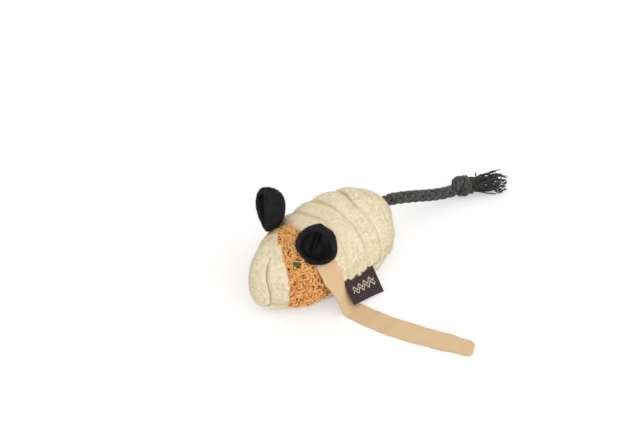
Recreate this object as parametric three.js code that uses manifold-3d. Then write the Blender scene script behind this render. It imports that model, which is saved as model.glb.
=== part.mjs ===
// Catnip mouse toy: a stuffed plush body wrapped in puffy bands, with a shaggy face,
// two cupped ears, embroidered eyes, a braided rope tail, a folded side label and a
// loose trailing tape. Millimetres, +Z up, nose toward -Y, the toy's left toward +X.
import * as THREE from 'three';
import { mergeVertices } from 'three/addons/utils/BufferGeometryUtils.js';
import Module from 'manifold-3d';

const wasm = await Module();
wasm.setup();

// Gap left between neighbouring pieces, how far a cutting solid runs past its work, the reach
// within which points are merged, and the step that slopes are measured over.
const clearance = 0.3;
const overrun = 3;
const mergeReach = 0.0001;
const slopeStep = 0.015;
const turnStep = 0.01;

// Stuffed body: outer size and how blunt its ends are.
const body = {
  noseY: -58.8,
  rumpY: 62,
  broadestY: 12,
  highestY: 1.5,
  halfWidth: 33,
  height: 50.5,
  sideHeight: 15.5,
  flatCut: 1,
  noseWidthPower: 1.95,
  rumpWidthPower: 1.95,
  noseHeightPower: 2.5,
  rumpHeightPower: 2.8,
  bellyPowerGain: 1.1,
  backSectionPower: 2.35,
  bellySectionPower: 3,
};

// Fabric shells over the stuffing: cloth thickness and how far creases sink in.
const wrap = {
  thickness: 1.8,
  crownDepth: 0.5,
  creaseDepth: 3,
  puffPower: 2.6,
  seamPuffPower: 10,
  faceCrownDepth: 2.2,
  baseCrownDepth: 0.5,
};

// Seam that joins the wraps to the base panel: its angle from straight up, in degrees, is least
// beside the label and runs down under the belly toward both ends. Where the body is narrower
// than the least half width, the gap at the seam is measured on that half width.
const seam = {
  sideAngle: 92,
  endDrop: 36,
  highY: 8,
  levelReach: 8,
  fullReach: 40,
  leastHalfWidth: 1.5,
};

// Creases across the body, from the nose back: each one's place as a share of the body's length, on
// the crest and at the side seam, and two powers that shape its run between them. The snout's wraps
// are lapped back over the right cheek, and the face patch is drawn in under the left ear: how far,
// at which side share it is most, and how far round it reaches. Depths are shares of the full one.
const creases = {
  crest: [0.112, 0.155, 0.205, 0.335, 0.49, 0.603, 0.702, 0.845],
  side: [0.052, 0.09, 0.13, 0.352, 0.466, 0.603, 0.738, 0.836],
  early: [8, 5, 3.5, 1, 1.8, 1.8, 1.8, 1.8],
  late: [1, 1, 1, 4, 1.1, 1.1, 1.6, 1.1],
  lap: [0.17, 0.155, 0.145, -0.058, 0, 0, 0.03, 0],
  lapAt: [-0.24, -0.26, -0.31, 0.55, 0, 0, -0.3, 0],
  lapReach: [0.15, 0.16, 0.18, 0.24, 1, 1, 0.2, 1],
  depth: [0.9, 0.5, 0.75, 0.95, 1, 0.85, 1, 0.85],
};
const pieceNames = [
  'snout_wrap_front', 'snout_wrap_mid', 'snout_wrap_rear', 'face_patch',
  'back_wrap_1', 'back_wrap_2', 'back_wrap_3', 'back_wrap_4', 'back_wrap_5',
];
const facePatchIndex = 3;
const lastBand = pieceNames.length - 1;
const lastCrease = creases.crest.length - 1;
const isCap = (k) => k === 0 || k === lastBand;

// Sampling of the body surface: stations across a band, columns over the back, columns below.
const stationShares = [0, 0.16, 0.5, 0.84, 1];
const capStationShares = [0, 0.16, 0.42, 0.68, 0.88, 1];
const backColumns = 16;
const bellyColumns = 7;
const seamHairShare = 0.000001;

// Catnip pouch, lying flat in a pocket that opens on the base panel.
const pouch = {
  length: 36,
  width: 25,
  height: 9,
  sheet: 0.8,
  centreY: 6,
  cornerPower: 3.5,
  crownPower: 2,
  chargeShare: 0.85,
  rings: 4,
  sides: 20,
};

// Ears: two plush layers, cupped, narrower at the foot and turned outward. Each foot stands just
// over the body, at an angle from straight up; the right one stands on the fuller snout wrap.
const ear = {
  height: 29,
  width: 25.5,
  cupDepth: 11.5,
  layer: 1.2,
  footY: -26.6,
  footAngle: 45.8,
  leftLift: 1,
  rightLift: 3.1,
  facing: 23,
  leanBack: 1,
  leanOut: 12,
  footWidthShare: 0.68,
  footDepthShare: 0.3,
  broadestShare: 0.55,
  deepestShare: 0.65,
  bowlPower: 3,
  ringShares: [0, 0.4, 0.7, 0.9, 1],
  sides: 18,
};

// Embroidered eyes, a low dome on the face patch, each at an angle from straight up.
const eye = {
  diameter: 4.2,
  height: 1.4,
  leftY: -34.2,
  leftAngle: 38,
  rightY: -31,
  rightAngle: -64,
  leftLift: -0.1,
  rightLift: 0.1,
  sides: 12,
  profileShares: [[0, 0], [1, 0], [0.92, 0.45], [0.55, 0.85], [0, 1]],
};

// Braided rope tail: sewn-in root, free rope, overhand knot and frayed end.
const rope = {
  diameter: 8.8,
  sides: 10,
  steps: 4,
  rootLength: 11,
  rootProud: 2,
  rootZ: 27.8,
};
// Centre of the rope from its root to the knot, chosen by hand along the photographed tail and
// measured from where it leaves the rump.
const tailRoute = [
  [0, 0, 0],
  [1.2, 8.8, -2.6],
  [2.3, 17.5, -5.5],
  [3.4, 26, -8.5],
  [4.5, 35, -11.6],
  [5.7, 44, -14.6],
  [6.7, 50.5, -16.6],
  [7.5, 55.6, -18.1],
];
const knot = {
  length: 15.5,
  width: 15.6,
  turnThickness: 7.2,
  turnTilt: 32,
  turnSpacing: 4.4,
  turnSteps: 16,
  sides: 8,
};
// Frayed end: a bound collar at the knot and loose yarns that fan out from it.
const tassel = {
  collarLength: 5,
  collarDiameter: 7.6,
  yarns: 24,
  yarnThickness: 1.7,
  tipThickness: 0.9,
  shortest: 20,
  longest: 29,
  heading: 26,
  spread: 9.5,
  sag: 2.6,
  yarnSides: 4,
  yarnShares: [0, 0.3, 0.65, 1],
};
const goldenTurn = Math.PI * (3 - Math.sqrt(5));

// Folded woven label, hanging from the left side seam, sewn in a little above it.
const label = {
  width: 25,
  drop: 18,
  layer: 0.5,
  gap: 0.3,
  frontY: -5.2,
  hingeInset: 1.6,
  hingeRise: 1.5,
  slope: 55,
  edgeSteps: 5,
};

// Loose end of the wrapping tape: sewn in under the left ear, down the side, along the ground.
const tape = {
  width: 16,
  rootWidth: 12.5,
  endWidth: 13.5,
  thickness: 0.9,
  rootY: -17.4,
  rootAngle: 60,
  hipOut: 0.2,
  hipY: -15.6,
  hipZ: 15,
  footOut: 7.2,
  footY: -11.6,
  footRise: 0.6,
  middleX: 80,
  middleY: 3.6,
  endX: 121.6,
  endY: 25.4,
  steps: 26,
  levelShare: 0.31,
  broadFromShare: 0.28,
  broadShare: 0.5,
  narrowShare: 0.8,
};

const colours = {
  cream: '#e8dcb8',
  tan: '#e0bf95',
  apricot: '#dd9a58',
  black: '#141416',
  charcoal: '#363634',
  brown: '#3c2727',
  green: '#2f4a22',
  fibre: '#f4f2ec',
  muslin: '#eee6d4',
  catnip: '#76804a',
};

const radians = THREE.MathUtils.degToRad;
const lerp = THREE.MathUtils.lerp;
const smoothstep = THREE.MathUtils.smoothstep;
const upright = new THREE.Vector3(0, 0, 1);

// A closed solid between two matching grids of points, outer above inner.
// Rings close around when around is true; a row whose points coincide is a pole.
function gridSolid(outer, inner, around) {
  const positions = [];
  const indices = [];
  const rows = outer.length;
  const columns = outer[0].length;
  const push = (grid) => grid.flat().forEach((p) => positions.push(p.x, p.y, p.z));
  push(outer);
  push(inner);
  const at = (layer, i, j) => layer * rows * columns + i * columns + (j % columns);
  const quad = (a, b, c, d) => indices.push(a, b, c, a, c, d);
  const lastColumn = around ? columns : columns - 1;
  for (let i = 0; i < rows - 1; i += 1) {
    for (let j = 0; j < lastColumn; j += 1) {
      quad(at(0, i, j), at(0, i, j + 1), at(0, i + 1, j + 1), at(0, i + 1, j));
      quad(at(1, i, j), at(1, i + 1, j), at(1, i + 1, j + 1), at(1, i, j + 1));
    }
  }
  for (let j = 0; j < lastColumn; j += 1) {
    quad(at(0, 0, j), at(1, 0, j), at(1, 0, j + 1), at(0, 0, j + 1));
    quad(at(0, rows - 1, j), at(0, rows - 1, j + 1), at(1, rows - 1, j + 1), at(1, rows - 1, j));
  }
  if (!around) {
    for (let i = 0; i < rows - 1; i += 1) {
      const last = columns - 1;
      quad(at(0, i, 0), at(0, i + 1, 0), at(1, i + 1, 0), at(1, i, 0));
      quad(at(0, i, last), at(1, i, last), at(1, i + 1, last), at(0, i + 1, last));
    }
  }
  return weld(positions, indices);
}

// A closed solid from one grid of rings whose first and last rings are poles.
function ringSolid(rings) {
  const positions = [];
  const indices = [];
  const columns = rings[0].length;
  rings.flat().forEach((p) => positions.push(p.x, p.y, p.z));
  for (let i = 0; i < rings.length - 1; i += 1) {
    for (let j = 0; j < columns; j += 1) {
      const next = (j + 1) % columns;
      const a = i * columns + j;
      const b = i * columns + next;
      const c = (i + 1) * columns + next;
      const d = (i + 1) * columns + j;
      indices.push(a, b, c, a, c, d);
    }
  }
  return weld(positions, indices);
}

// Merge equal points, drop triangles that collapse, and turn the faces outward.
function weld(positions, indices) {
  const raw = new THREE.BufferGeometry();
  raw.setAttribute('position', new THREE.Float32BufferAttribute(positions, 3));
  raw.setIndex(indices);
  const merged = mergeVertices(raw, mergeReach);
  const kept = [];
  const index = merged.index.array;
  for (let i = 0; i < index.length; i += 3) {
    const [a, b, c] = [index[i], index[i + 1], index[i + 2]];
    if (a !== b && b !== c && a !== c) kept.push(a, b, c);
  }
  const geometry = new THREE.BufferGeometry();
  geometry.setAttribute('position', merged.getAttribute('position'));
  geometry.setIndex(signedVolume(merged, kept) < 0 ? flip(kept) : kept);
  return geometry;
}

function signedVolume(geometry, index) {
  const point = geometry.getAttribute('position');
  const [a, b, c] = [new THREE.Vector3(), new THREE.Vector3(), new THREE.Vector3()];
  let sum = 0;
  for (let i = 0; i < index.length; i += 3) {
    a.fromBufferAttribute(point, index[i]);
    b.fromBufferAttribute(point, index[i + 1]);
    c.fromBufferAttribute(point, index[i + 2]);
    sum += a.dot(b.cross(c));
  }
  return sum / 6;
}

function flip(index) {
  const turned = [];
  for (let i = 0; i < index.length; i += 3) turned.push(index[i], index[i + 2], index[i + 1]);
  return turned;
}

function toSolid(source) {
  const bare = source.clone();
  bare.deleteAttribute('normal');
  bare.deleteAttribute('uv');
  const merged = mergeVertices(bare, mergeReach);
  return new wasm.Manifold(new wasm.Mesh({
    numProp: 3,
    vertProperties: new Float32Array(merged.getAttribute('position').array),
    triVerts: new Uint32Array(merged.index.array),
  }));
}

function toGeometry(solid) {
  const mesh = solid.getMesh();
  const geometry = new THREE.BufferGeometry();
  geometry.setAttribute('position', new THREE.BufferAttribute(new Float32Array(mesh.vertProperties), 3));
  geometry.setIndex(new THREE.BufferAttribute(new Uint32Array(mesh.triVerts), 1));
  return geometry;
}

const cut = (base, ...tools) => toGeometry(tools.reduce((s, t) => s.subtract(toSolid(t)), toSolid(base)));
const join = (...pieces) => toGeometry(pieces.map(toSolid).reduce((s, t) => s.add(t)));

// How full the body is at y: 1 where it is broadest, 0 at its tip, for a surface sunk by depth.
function fullness(y, depth, centreY, frontPower, rearPower) {
  const toNose = y < centreY;
  const reach = toNose ? centreY - body.noseY - depth : body.rumpY - depth - centreY;
  const power = toNose ? frontPower : rearPower;
  const away = Math.min(Math.abs(y - centreY) / reach, 1);
  return Math.pow(1 - Math.pow(away, power), 1 / power);
}

function halfWidthAt(y, depth) {
  const full = fullness(y, depth, body.broadestY, body.noseWidthPower, body.rumpWidthPower);
  return (body.halfWidth - depth) * full;
}

// A point of the body surface sunk by depth; angle runs from straight up toward +X.
// Each half section is a superellipse taken by its polar angle.
function bodyPoint(y, angle, depth) {
  const rise = (body.height - body.sideHeight - depth)
    * fullness(y, depth, body.highestY, body.noseHeightPower, body.rumpHeightPower);
  const drop = (body.sideHeight + body.flatCut - depth) * fullness(y, depth, body.broadestY,
    body.noseWidthPower + body.bellyPowerGain, body.rumpWidthPower + body.bellyPowerGain);
  const [sine, cosine] = [Math.sin(angle), Math.cos(angle)];
  const power = cosine > 0 ? body.backSectionPower : body.bellySectionPower;
  const radius = Math.pow(Math.abs(sine) ** power + Math.abs(cosine) ** power, -1 / power);
  const z = body.sideHeight + (cosine > 0 ? rise : drop) * radius * cosine;
  return new THREE.Vector3(halfWidthAt(y, depth) * radius * sine, y, Math.max(z, 0));
}

const bodyLength = body.rumpY - body.noseY;

// Crease number k at side share s: 0 on the crest, -1 and 1 at the side seams.
function creaseY(k, s) {
  const turn = (1 - (1 - Math.min(Math.abs(s), 1)) ** creases.early[k]) ** creases.late[k];
  const lap = creases.lap[k] * Math.exp(-(((s - creases.lapAt[k]) / creases.lapReach[k]) ** 2));
  return body.noseY + bodyLength * (lerp(creases.crest[k], creases.side[k], turn) + lap);
}

function seamAngle(y) {
  const away = smoothstep(Math.abs(y - seam.highY), seam.levelReach, seam.fullReach);
  return radians(seam.sideAngle + seam.endDrop * away);
}

// Place across band k at station share u: the nose and rump bands close on a pole.
function bandY(k, u, s, depth) {
  if (k === 0) {
    const pole = body.noseY + depth;
    return pole + (creaseY(0, s) - clearance / 2 - pole) * (1 - Math.cos(u * Math.PI / 2));
  }
  if (k === lastBand) {
    const pole = body.rumpY - depth;
    const front = creaseY(k - 1, s) + clearance / 2;
    return front + (pole - front) * Math.sin(u * Math.PI / 2);
  }
  return lerp(creaseY(k - 1, s) + clearance / 2, creaseY(k, s) - clearance / 2, u);
}

// Depth of the outer surface: sunk at creases and at the seam, fullest between them.
function reliefDepth(k, u, s) {
  const below = Math.abs(s) > 1;
  const capped = isCap(k);
  const backCrown = k === facePatchIndex ? wrap.faceCrownDepth : wrap.crownDepth;
  const crown = below ? wrap.baseCrownDepth : backCrown;
  const toSeam = below ? Math.abs(s - 2) : Math.abs(s);
  const seamPull = capped ? 0 : toSeam ** wrap.seamPuffPower;
  const nearest = u < 0.5 ? Math.max(k - 1, 0) : Math.min(k, lastCrease);
  const crease = creases.depth[nearest];
  const free = (k === 0 && u < 0.5) || (k === lastBand && u > 0.5) || (below && !capped);
  const creasePull = free ? 0 : Math.abs(2 * u - 1) ** wrap.puffPower * crease;
  return lerp(crown, wrap.creaseDepth, 1 - (1 - creasePull) * (1 - seamPull));
}

// Point of band k at station share u and column share s, sunk by extra below the outer face.
function bandPoint(k, u, s, extra, trim) {
  const depth = reliefDepth(k, u, s) + extra;
  return onColumn(bandY(k, u, s, depth), s, depth, trim);
}

// Point at y on the column of share s, sunk by depth, kept back from the seam by trim.
// Column shares between -1 and 1 lie over the back, those past 1 run under the belly.
function onColumn(y, s, depth, trim) {
  const edge = seamAngle(y);
  const ease = trim / Math.max(halfWidthAt(y, depth), seam.leastHalfWidth);
  if (Math.abs(s) <= 1) return bodyPoint(y, s * (edge - ease), depth);
  const under = edge + ease + (s - 1) * (Math.PI - edge - ease);
  return bodyPoint(y, under, depth);
}

// Column shares over the back, those under the belly from one seam round to the other,
// and all of them in one ring. The belly starts a hair past 1, which still counts as the back.
const count = (total, make) => Array.from({ length: total }, (_, j) => make(j));
const backShares = count(backColumns + 1, (j) => lerp(-1, 1, j / backColumns));
const bellyShares = count(bellyColumns + 1, (j) => lerp(1 + seamHairShare, 3, j / bellyColumns));
const aroundShares = [...backShares, ...bellyShares.slice(1, -1)];

// Stations across band k; the two end bands have one more, closer together at the pole.
function stationsOf(k) {
  if (k === 0) return capStationShares.map((u) => 1 - u).reverse();
  return k === lastBand ? capStationShares : stationShares;
}

function bandGrid(k, shares, extra, trim) {
  return stationsOf(k).map((u) => shares.map((s) => bandPoint(k, u, s, extra, trim)));
}

// One plush band, from side seam to side seam; the nose and rump bands close all round.
function wrapGeometry(k) {
  const closed = isCap(k);
  const shares = closed ? aroundShares : backShares;
  const trim = closed ? 0 : clearance / 2;
  return gridSolid(bandGrid(k, shares, 0, trim), bandGrid(k, shares, wrap.thickness, trim), closed);
}

// Base panel under the belly, between the seams, from the nose band to the rump band.
function baseGeometry() {
  const rows = (extra) => {
    const grid = [];
    for (let k = 1; k < lastBand; k += 1) {
      bandGrid(k, bellyShares, extra, clearance / 2).forEach((row, i) => {
        if (i > 0 || k === 1) grid.push(row);
      });
    }
    return grid;
  };
  return gridSolid(rows(0), rows(wrap.thickness), false);
}

// Fibre filling: the inside of every wrap and of the base panel, less the clearance.
// Where two bands meet, it is as deep at both their edges as the deeper one.
function fillingGeometry() {
  const extra = wrap.thickness + clearance;
  const edgeRing = (k, band, u) => aroundShares.map((s) => {
    const depth = Math.max(reliefDepth(k, 1, s), reliefDepth(k + 1, 0, s)) + extra;
    return onColumn(bandY(band, u, s, depth), s, depth, 0);
  });
  const rings = pieceNames.flatMap((_, k) => {
    const grid = bandGrid(k, aroundShares, extra, 0).slice(k === 0 ? 0 : 1);
    return k === lastBand ? grid : [...grid.slice(0, -1), edgeRing(k, k, 1), edgeRing(k, k + 1, 0)];
  });
  return ringSolid(rings);
}

// Direction out of the body surface at a place on it.
function bodyNormal(y, angle, depth) {
  const along = bodyPoint(y + slopeStep, angle, depth).sub(bodyPoint(y - slopeStep, angle, depth));
  const about = bodyPoint(y, angle + turnStep, depth).sub(bodyPoint(y, angle - turnStep, depth));
  return about.cross(along).normalize();
}

// Pillow outline at a ring share, a superellipse.
function pillowPoint(turn, share, length, width) {
  const [cosine, sine] = [Math.cos(turn), Math.sin(turn)];
  const power = pouch.cornerPower;
  const radius = (Math.abs(cosine) ** power + Math.abs(sine) ** power) ** (-1 / power);
  return new THREE.Vector3(width / 2 * share * radius * cosine, length / 2 * share * radius * sine, 0);
}

const pouchFloor = wrap.thickness + wrap.baseCrownDepth - body.flatCut + clearance;
const pouchMiddleZ = pouchFloor + pouch.height / 2;
const pouchCrown = pouch.height / 2 - pouch.sheet - clearance / 2;
const pillowCrown = (share) => 1 - share ** pouch.crownPower;

function pillowRings(length, width, heightAt) {
  const rings = [];
  for (let i = 0; i <= pouch.rings; i += 1) {
    const share = i / pouch.rings;
    rings.push(count(pouch.sides, (j) => {
      const point = pillowPoint(2 * Math.PI * j / pouch.sides, share, length, width);
      point.z = heightAt(share);
      return point;
    }));
  }
  return rings;
}

// One muslin sheet of the pouch, domed, with its rim against the other sheet's.
function pouchSheet(sign) {
  const seamZ = clearance / 2;
  const outside = pillowRings(pouch.length, pouch.width,
    (share) => sign * (seamZ + pouch.sheet + pouchCrown * pillowCrown(share)));
  const inside = pillowRings(pouch.length, pouch.width,
    (share) => sign * (seamZ + pouchCrown * pillowCrown(share)));
  return gridSolid(outside, inside, true);
}

function catnipCharge() {
  const [length, width] = [pouch.length, pouch.width].map((size) => size * pouch.chargeShare);
  const crown = pouchCrown - clearance;
  const upper = pillowRings(length, width, (share) => crown * pillowCrown(share));
  const lower = pillowRings(length, width, (share) => -crown * pillowCrown(share));
  return ringSolid([...upper, ...lower.reverse().slice(1)]);
}

// Pocket in the filling, open on the base panel, that the pouch lies in.
function pouchPocket() {
  const shape = new THREE.Shape(count(pouch.sides, (j) => {
    const turn = 2 * Math.PI * j / pouch.sides;
    const edge = pillowPoint(turn, 1, pouch.length + 2 * clearance, pouch.width + 2 * clearance);
    return new THREE.Vector2(edge.x, edge.y);
  }));
  const depth = pouchFloor + pouch.height + clearance + overrun;
  const pocket = new THREE.ExtrudeGeometry(shape, { depth, bevelEnabled: false });
  pocket.translate(0, pouch.centreY, -overrun);
  return pocket;
}

// Ear group on one side: its X runs across the ear, its Y up it and its Z out of the cup.
function earGroup(side, lift) {
  const facing = radians(ear.facing);
  const outward = new THREE.Vector3(side * Math.sin(facing), -Math.cos(facing), 0);
  const [leanOut, leanBack] = [ear.leanOut, ear.leanBack].map((angle) => Math.tan(radians(angle)));
  const up = new THREE.Vector3(side * leanOut, leanBack, 1).normalize();
  const forward = outward.addScaledVector(up, -outward.dot(up)).normalize();
  const across = new THREE.Vector3().crossVectors(up, forward);
  const placed = new THREE.Group();
  placed.quaternion.setFromRotationMatrix(new THREE.Matrix4().makeBasis(across, up, forward));
  placed.position.copy(bodyPoint(ear.footY, side * radians(ear.footAngle), 0));
  placed.position.z += lift;
  return placed;
}

// Point of the cup at ring share r and turn, moved out of the hollow by offset.
function earPoint(r, turn, offset) {
  const rise = (1 + r * Math.sin(turn)) / 2;
  const half = ear.width / 2 * lerp(ear.footWidthShare, 1, smoothstep(rise, 0, ear.broadestShare));
  const cup = ear.cupDepth * lerp(ear.footDepthShare, 1, smoothstep(rise, 0, ear.deepestShare));
  const level = ear.height / 2;
  return new THREE.Vector3(
    (half + offset) * r * Math.cos(turn),
    level + (level + offset) * r * Math.sin(turn),
    -cup * (1 - r ** ear.bowlPower) - offset * Math.sqrt(Math.max(1 - r * r, 0)),
  );
}

// One plush layer of an ear, between two offsets.
function earLayer(nearOffset) {
  const ring = (r, offset) => count(ear.sides, (j) => earPoint(r, 2 * Math.PI * j / ear.sides, offset));
  const rings = (offset) => ear.ringShares.map((r) => ring(r, offset));
  return gridSolid(rings(nearOffset + ear.layer), rings(nearOffset), true);
}

// Stitched eye, a low dome, and where it lies on the face patch.
function eyeGeometry() {
  const profile = eye.profileShares.map(([r, h]) => new THREE.Vector2(eye.diameter / 2 * r, eye.height * h));
  return toGeometry(toSolid(new THREE.LatheGeometry(profile, eye.sides)));
}

function placeEye(mesh, y, angle, lift) {
  const out = bodyNormal(y, angle, wrap.faceCrownDepth);
  mesh.position.copy(bodyPoint(y, angle, wrap.faceCrownDepth)).addScaledVector(out, lift);
  mesh.quaternion.setFromUnitVectors(new THREE.Vector3(0, 1, 0), out);
}

// Rope section, and an extruded run of it along a curve.
function ropeRun(curve, diameter, steps) {
  const section = new THREE.Shape(count(rope.sides, (j) => {
    const turn = 2 * Math.PI * j / rope.sides;
    return new THREE.Vector2(Math.cos(turn), Math.sin(turn)).multiplyScalar(diameter / 2);
  }));
  return new THREE.ExtrudeGeometry(section, { steps, bevelEnabled: false, extrudePath: curve });
}

const tailPivot = new THREE.Vector3(0, body.rumpY + rope.rootProud, rope.rootZ);
const tailCurve = new THREE.CatmullRomCurve3(tailRoute.map((p) => new THREE.Vector3(...p).add(tailPivot)));
const tailStart = tailCurve.getTangent(0);
const tailEnd = tailCurve.getPoint(1);
const tailEndRun = tailCurve.getTangent(1);
const knotCentre = tailEnd.clone().addScaledVector(tailEndRun, clearance + knot.length / 2);
knotCentre.z = knot.width / 2 + clearance;
const tasselRun = new THREE.Vector3(0, 1, 0).applyAxisAngle(upright, -radians(tassel.heading));
const tasselSide = new THREE.Vector3().crossVectors(tasselRun, upright);

// Free rope, with a round end that turns in its seat on the rump.
function ropeGeometry() {
  const ball = new THREE.SphereGeometry(rope.diameter / 2, rope.sides, rope.sides / 2 + 1);
  ball.translate(tailPivot.x, tailPivot.y, tailPivot.z);
  return join(ropeRun(tailCurve, rope.diameter, rope.steps), ball);
}

// Straight run inward from the rope's seat, for the sewn-in root and for the hole it fills.
function rootRun(diameter, from, to) {
  const inward = rootDirection();
  return straightRun(tailPivot, inward, from, to, diameter);
}

// Straight run of rope from one place to another along a direction.
function straightRun(start, direction, from, to, diameter) {
  const ends = [from, to].map((reach) => start.clone().addScaledVector(direction, reach));
  return ropeRun(new THREE.LineCurve3(...ends), diameter, 1);
}

// The root goes straight into the rump, level with the rope's first run seen from above.
function rootDirection() {
  return new THREE.Vector3(-tailStart.x, -tailStart.y, 0).normalize();
}

const rootFrom = rope.diameter / 2 + clearance;
const rootTo = rootFrom + rope.rootLength;

// A solid turned so that its +Z runs along a direction, and moved to a place.
function aim(geometry, direction, place) {
  geometry.applyQuaternion(new THREE.Quaternion().setFromUnitVectors(upright, direction));
  return geometry.translate(place.x, place.y, place.z);
}

// Overhand knot: a full core with two crossing turns of rope, opened for the rope and the tassel.
function knotGeometry() {
  const tube = knot.turnThickness / 2;
  const reach = knot.width / 2 - tube;
  const turn = (tilt, shift) => {
    const ring = new THREE.TorusGeometry(reach, tube, knot.sides, knot.turnSteps);
    ring.rotateX(radians(tilt));
    ring.translate(0, 0, shift);
    return aim(ring, tailEndRun, knotCentre);
  };
  const core = new THREE.SphereGeometry(knot.length / 2, knot.turnSteps, knot.sides);
  core.rotateX(Math.PI / 2);
  core.scale(knot.turnThickness / knot.length, knot.turnThickness / knot.length, 1);
  const shift = knot.turnSpacing / 2;
  const turns = [turn(knot.turnTilt, -shift), turn(-knot.turnTilt, shift)];
  const lump = join(aim(core, tailEndRun, knotCentre), ...turns);
  const ropeWay = straightRun(tailEnd, tailEndRun, -overrun, clearance, rope.diameter + 2 * clearance);
  return cut(lump, ropeWay, collarRun(2 * clearance));
}

const collarFrom = knot.length / 2 - tassel.collarLength / 2;

function collarRun(grow) {
  const to = collarFrom + tassel.collarLength;
  return straightRun(knotCentre, tasselRun, collarFrom - grow / 2, to, tassel.collarDiameter + grow);
}

// One yarn of the frayed end, tapering and sinking toward the ground.
function yarn(i) {
  const spin = i * goldenTurn;
  const ring = Math.sqrt((i + 1) / tassel.yarns);
  const length = lerp(tassel.shortest, tassel.longest, Math.abs(Math.cos(spin + i)));
  const start = collarFrom + tassel.collarLength - clearance;
  const seat = (tassel.collarDiameter - tassel.yarnThickness) / 2 * ring;
  const rings = tassel.yarnShares.map((t) => {
    const half = lerp(tassel.yarnThickness, tassel.tipThickness, t) / 2;
    const off = seat + tassel.spread * ring * t;
    const centre = knotCentre.clone()
      .addScaledVector(tasselRun, start + length * t)
      .addScaledVector(tasselSide, off * Math.cos(spin))
      .addScaledVector(upright, off * Math.sin(spin) - tassel.sag * t);
    centre.z = Math.max(centre.z, half + clearance);
    return count(tassel.yarnSides, (j) => {
      const turn = 2 * Math.PI * j / tassel.yarnSides;
      return centre.clone()
        .addScaledVector(tasselSide, half * Math.cos(turn))
        .addScaledVector(upright, half * Math.sin(turn));
    });
  });
  const pole = (row) => {
    const middle = row.reduce((sum, p) => sum.add(p), new THREE.Vector3()).divideScalar(row.length);
    return row.map(() => middle.clone());
  };
  return ringSolid([pole(rings[0]), ...rings, pole(rings.at(-1))]);
}

function tasselGeometry() {
  return join(collarRun(0), ...count(tassel.yarns, yarn));
}

// Label: one woven strip folded in two, its section drawn from the seam down, extruded
// across its width.
function labelGeometry() {
  const radius = label.layer + label.gap / 2;
  const stadium = (from, to, half) => {
    const shape = new THREE.Shape();
    shape.absarc(from, 0, half, Math.PI / 2, Math.PI * 3 / 2, false);
    shape.absarc(to, 0, half, -Math.PI / 2, Math.PI / 2, false);
    shape.closePath();
    return shape;
  };
  const outline = stadium(0, label.drop - radius, radius);
  outline.holes.push(stadium(label.layer, label.drop - radius, label.gap / 2));
  const across = { depth: label.width, bevelEnabled: false, curveSegments: label.edgeSteps };
  return new THREE.ExtrudeGeometry(outline, across);
}

// Route of the tape: off the body under the ear, past the hip, then flat along the ground.
const tapeNormal = bodyNormal(tape.rootY, radians(tape.rootAngle), 0);
const tapeRoot = bodyPoint(tape.rootY, radians(tape.rootAngle), 0);
tapeRoot.addScaledVector(tapeNormal, tape.thickness);
const groundZ = tape.thickness / 2;
const tapeHip = new THREE.Vector3(body.halfWidth + tape.hipOut, tape.hipY, tape.hipZ);
const tapeFoot = new THREE.Vector3(body.halfWidth + tape.footOut, tape.footY, groundZ);
const tapeMiddle = new THREE.Vector3(tape.middleX, tape.middleY, groundZ);
const tapeBow = tapeFoot.clone().lerp(tapeMiddle, 0.5);
tapeBow.y -= tape.thickness;
tapeFoot.z += tape.footRise;
const tapeCurve = new THREE.CatmullRomCurve3([
  tapeRoot,
  tapeHip,
  tapeFoot,
  tapeBow,
  tapeMiddle,
  new THREE.Vector3(tape.endX, tape.endY, groundZ),
], false, 'centripetal');

// Half width of the tape at share t of its length.
function tapeHalf(t) {
  const broad = lerp(tape.rootWidth, tape.width, smoothstep(t, tape.broadFromShare, tape.broadShare));
  return lerp(broad, tape.endWidth, smoothstep(t, tape.narrowShare, 1)) / 2;
}

// The tape's two edges at share t, on one face: its face turns from the body's to level.
function tapeRow(t, sign) {
  const centre = tapeCurve.getPointAt(t);
  const run = tapeCurve.getTangentAt(t);
  const face = tapeNormal.clone().lerp(upright, smoothstep(t, 0, tape.levelShare));
  const across = new THREE.Vector3().crossVectors(face, run).normalize();
  const out = new THREE.Vector3().crossVectors(run, across);
  return [-tapeHalf(t), tapeHalf(t)].map((reach) => {
    const corner = centre.clone().addScaledVector(across, reach);
    corner.addScaledVector(out, sign * tape.thickness / 2);
    corner.z = Math.max(corner.z, sign > 0 ? tape.thickness : 0);
    return corner;
  });
}

function tapeGeometry() {
  const [outer, inner] = [1, -1].map((sign) => count(tape.steps + 1, (i) => tapeRow(i / tape.steps, sign)));
  return gridSolid(outer, inner, false);
}

function add(parent, name, geometry, colour, roughness = 0.95) {
  const material = new THREE.MeshStandardMaterial({ color: colour, roughness, metalness: 0 });
  const mesh = new THREE.Mesh(geometry, material);
  mesh.name = name;
  parent.add(mesh);
  return mesh;
}

const group = new THREE.Group();

const rootHole = rootRun(rope.diameter + 2 * clearance, 0, rootTo + clearance);
pieceNames.forEach((name, k) => {
  const shell = wrapGeometry(k);
  const colour = k === facePatchIndex ? colours.apricot : colours.cream;
  add(group, name, k === lastBand ? cut(shell, rootHole) : shell, colour);
});
add(group, 'base_panel', baseGeometry(), colours.cream);
add(group, 'fibre_filling', cut(fillingGeometry(), pouchPocket(), rootHole), colours.fibre);

const pouchGroup = new THREE.Group();
pouchGroup.position.set(0, pouch.centreY, pouchMiddleZ);
add(pouchGroup, 'catnip_pouch_top', pouchSheet(1), colours.muslin);
add(pouchGroup, 'catnip_pouch_bottom', pouchSheet(-1), colours.muslin);
add(pouchGroup, 'catnip_charge', catnipCharge(), colours.catnip);
group.add(pouchGroup);

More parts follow.
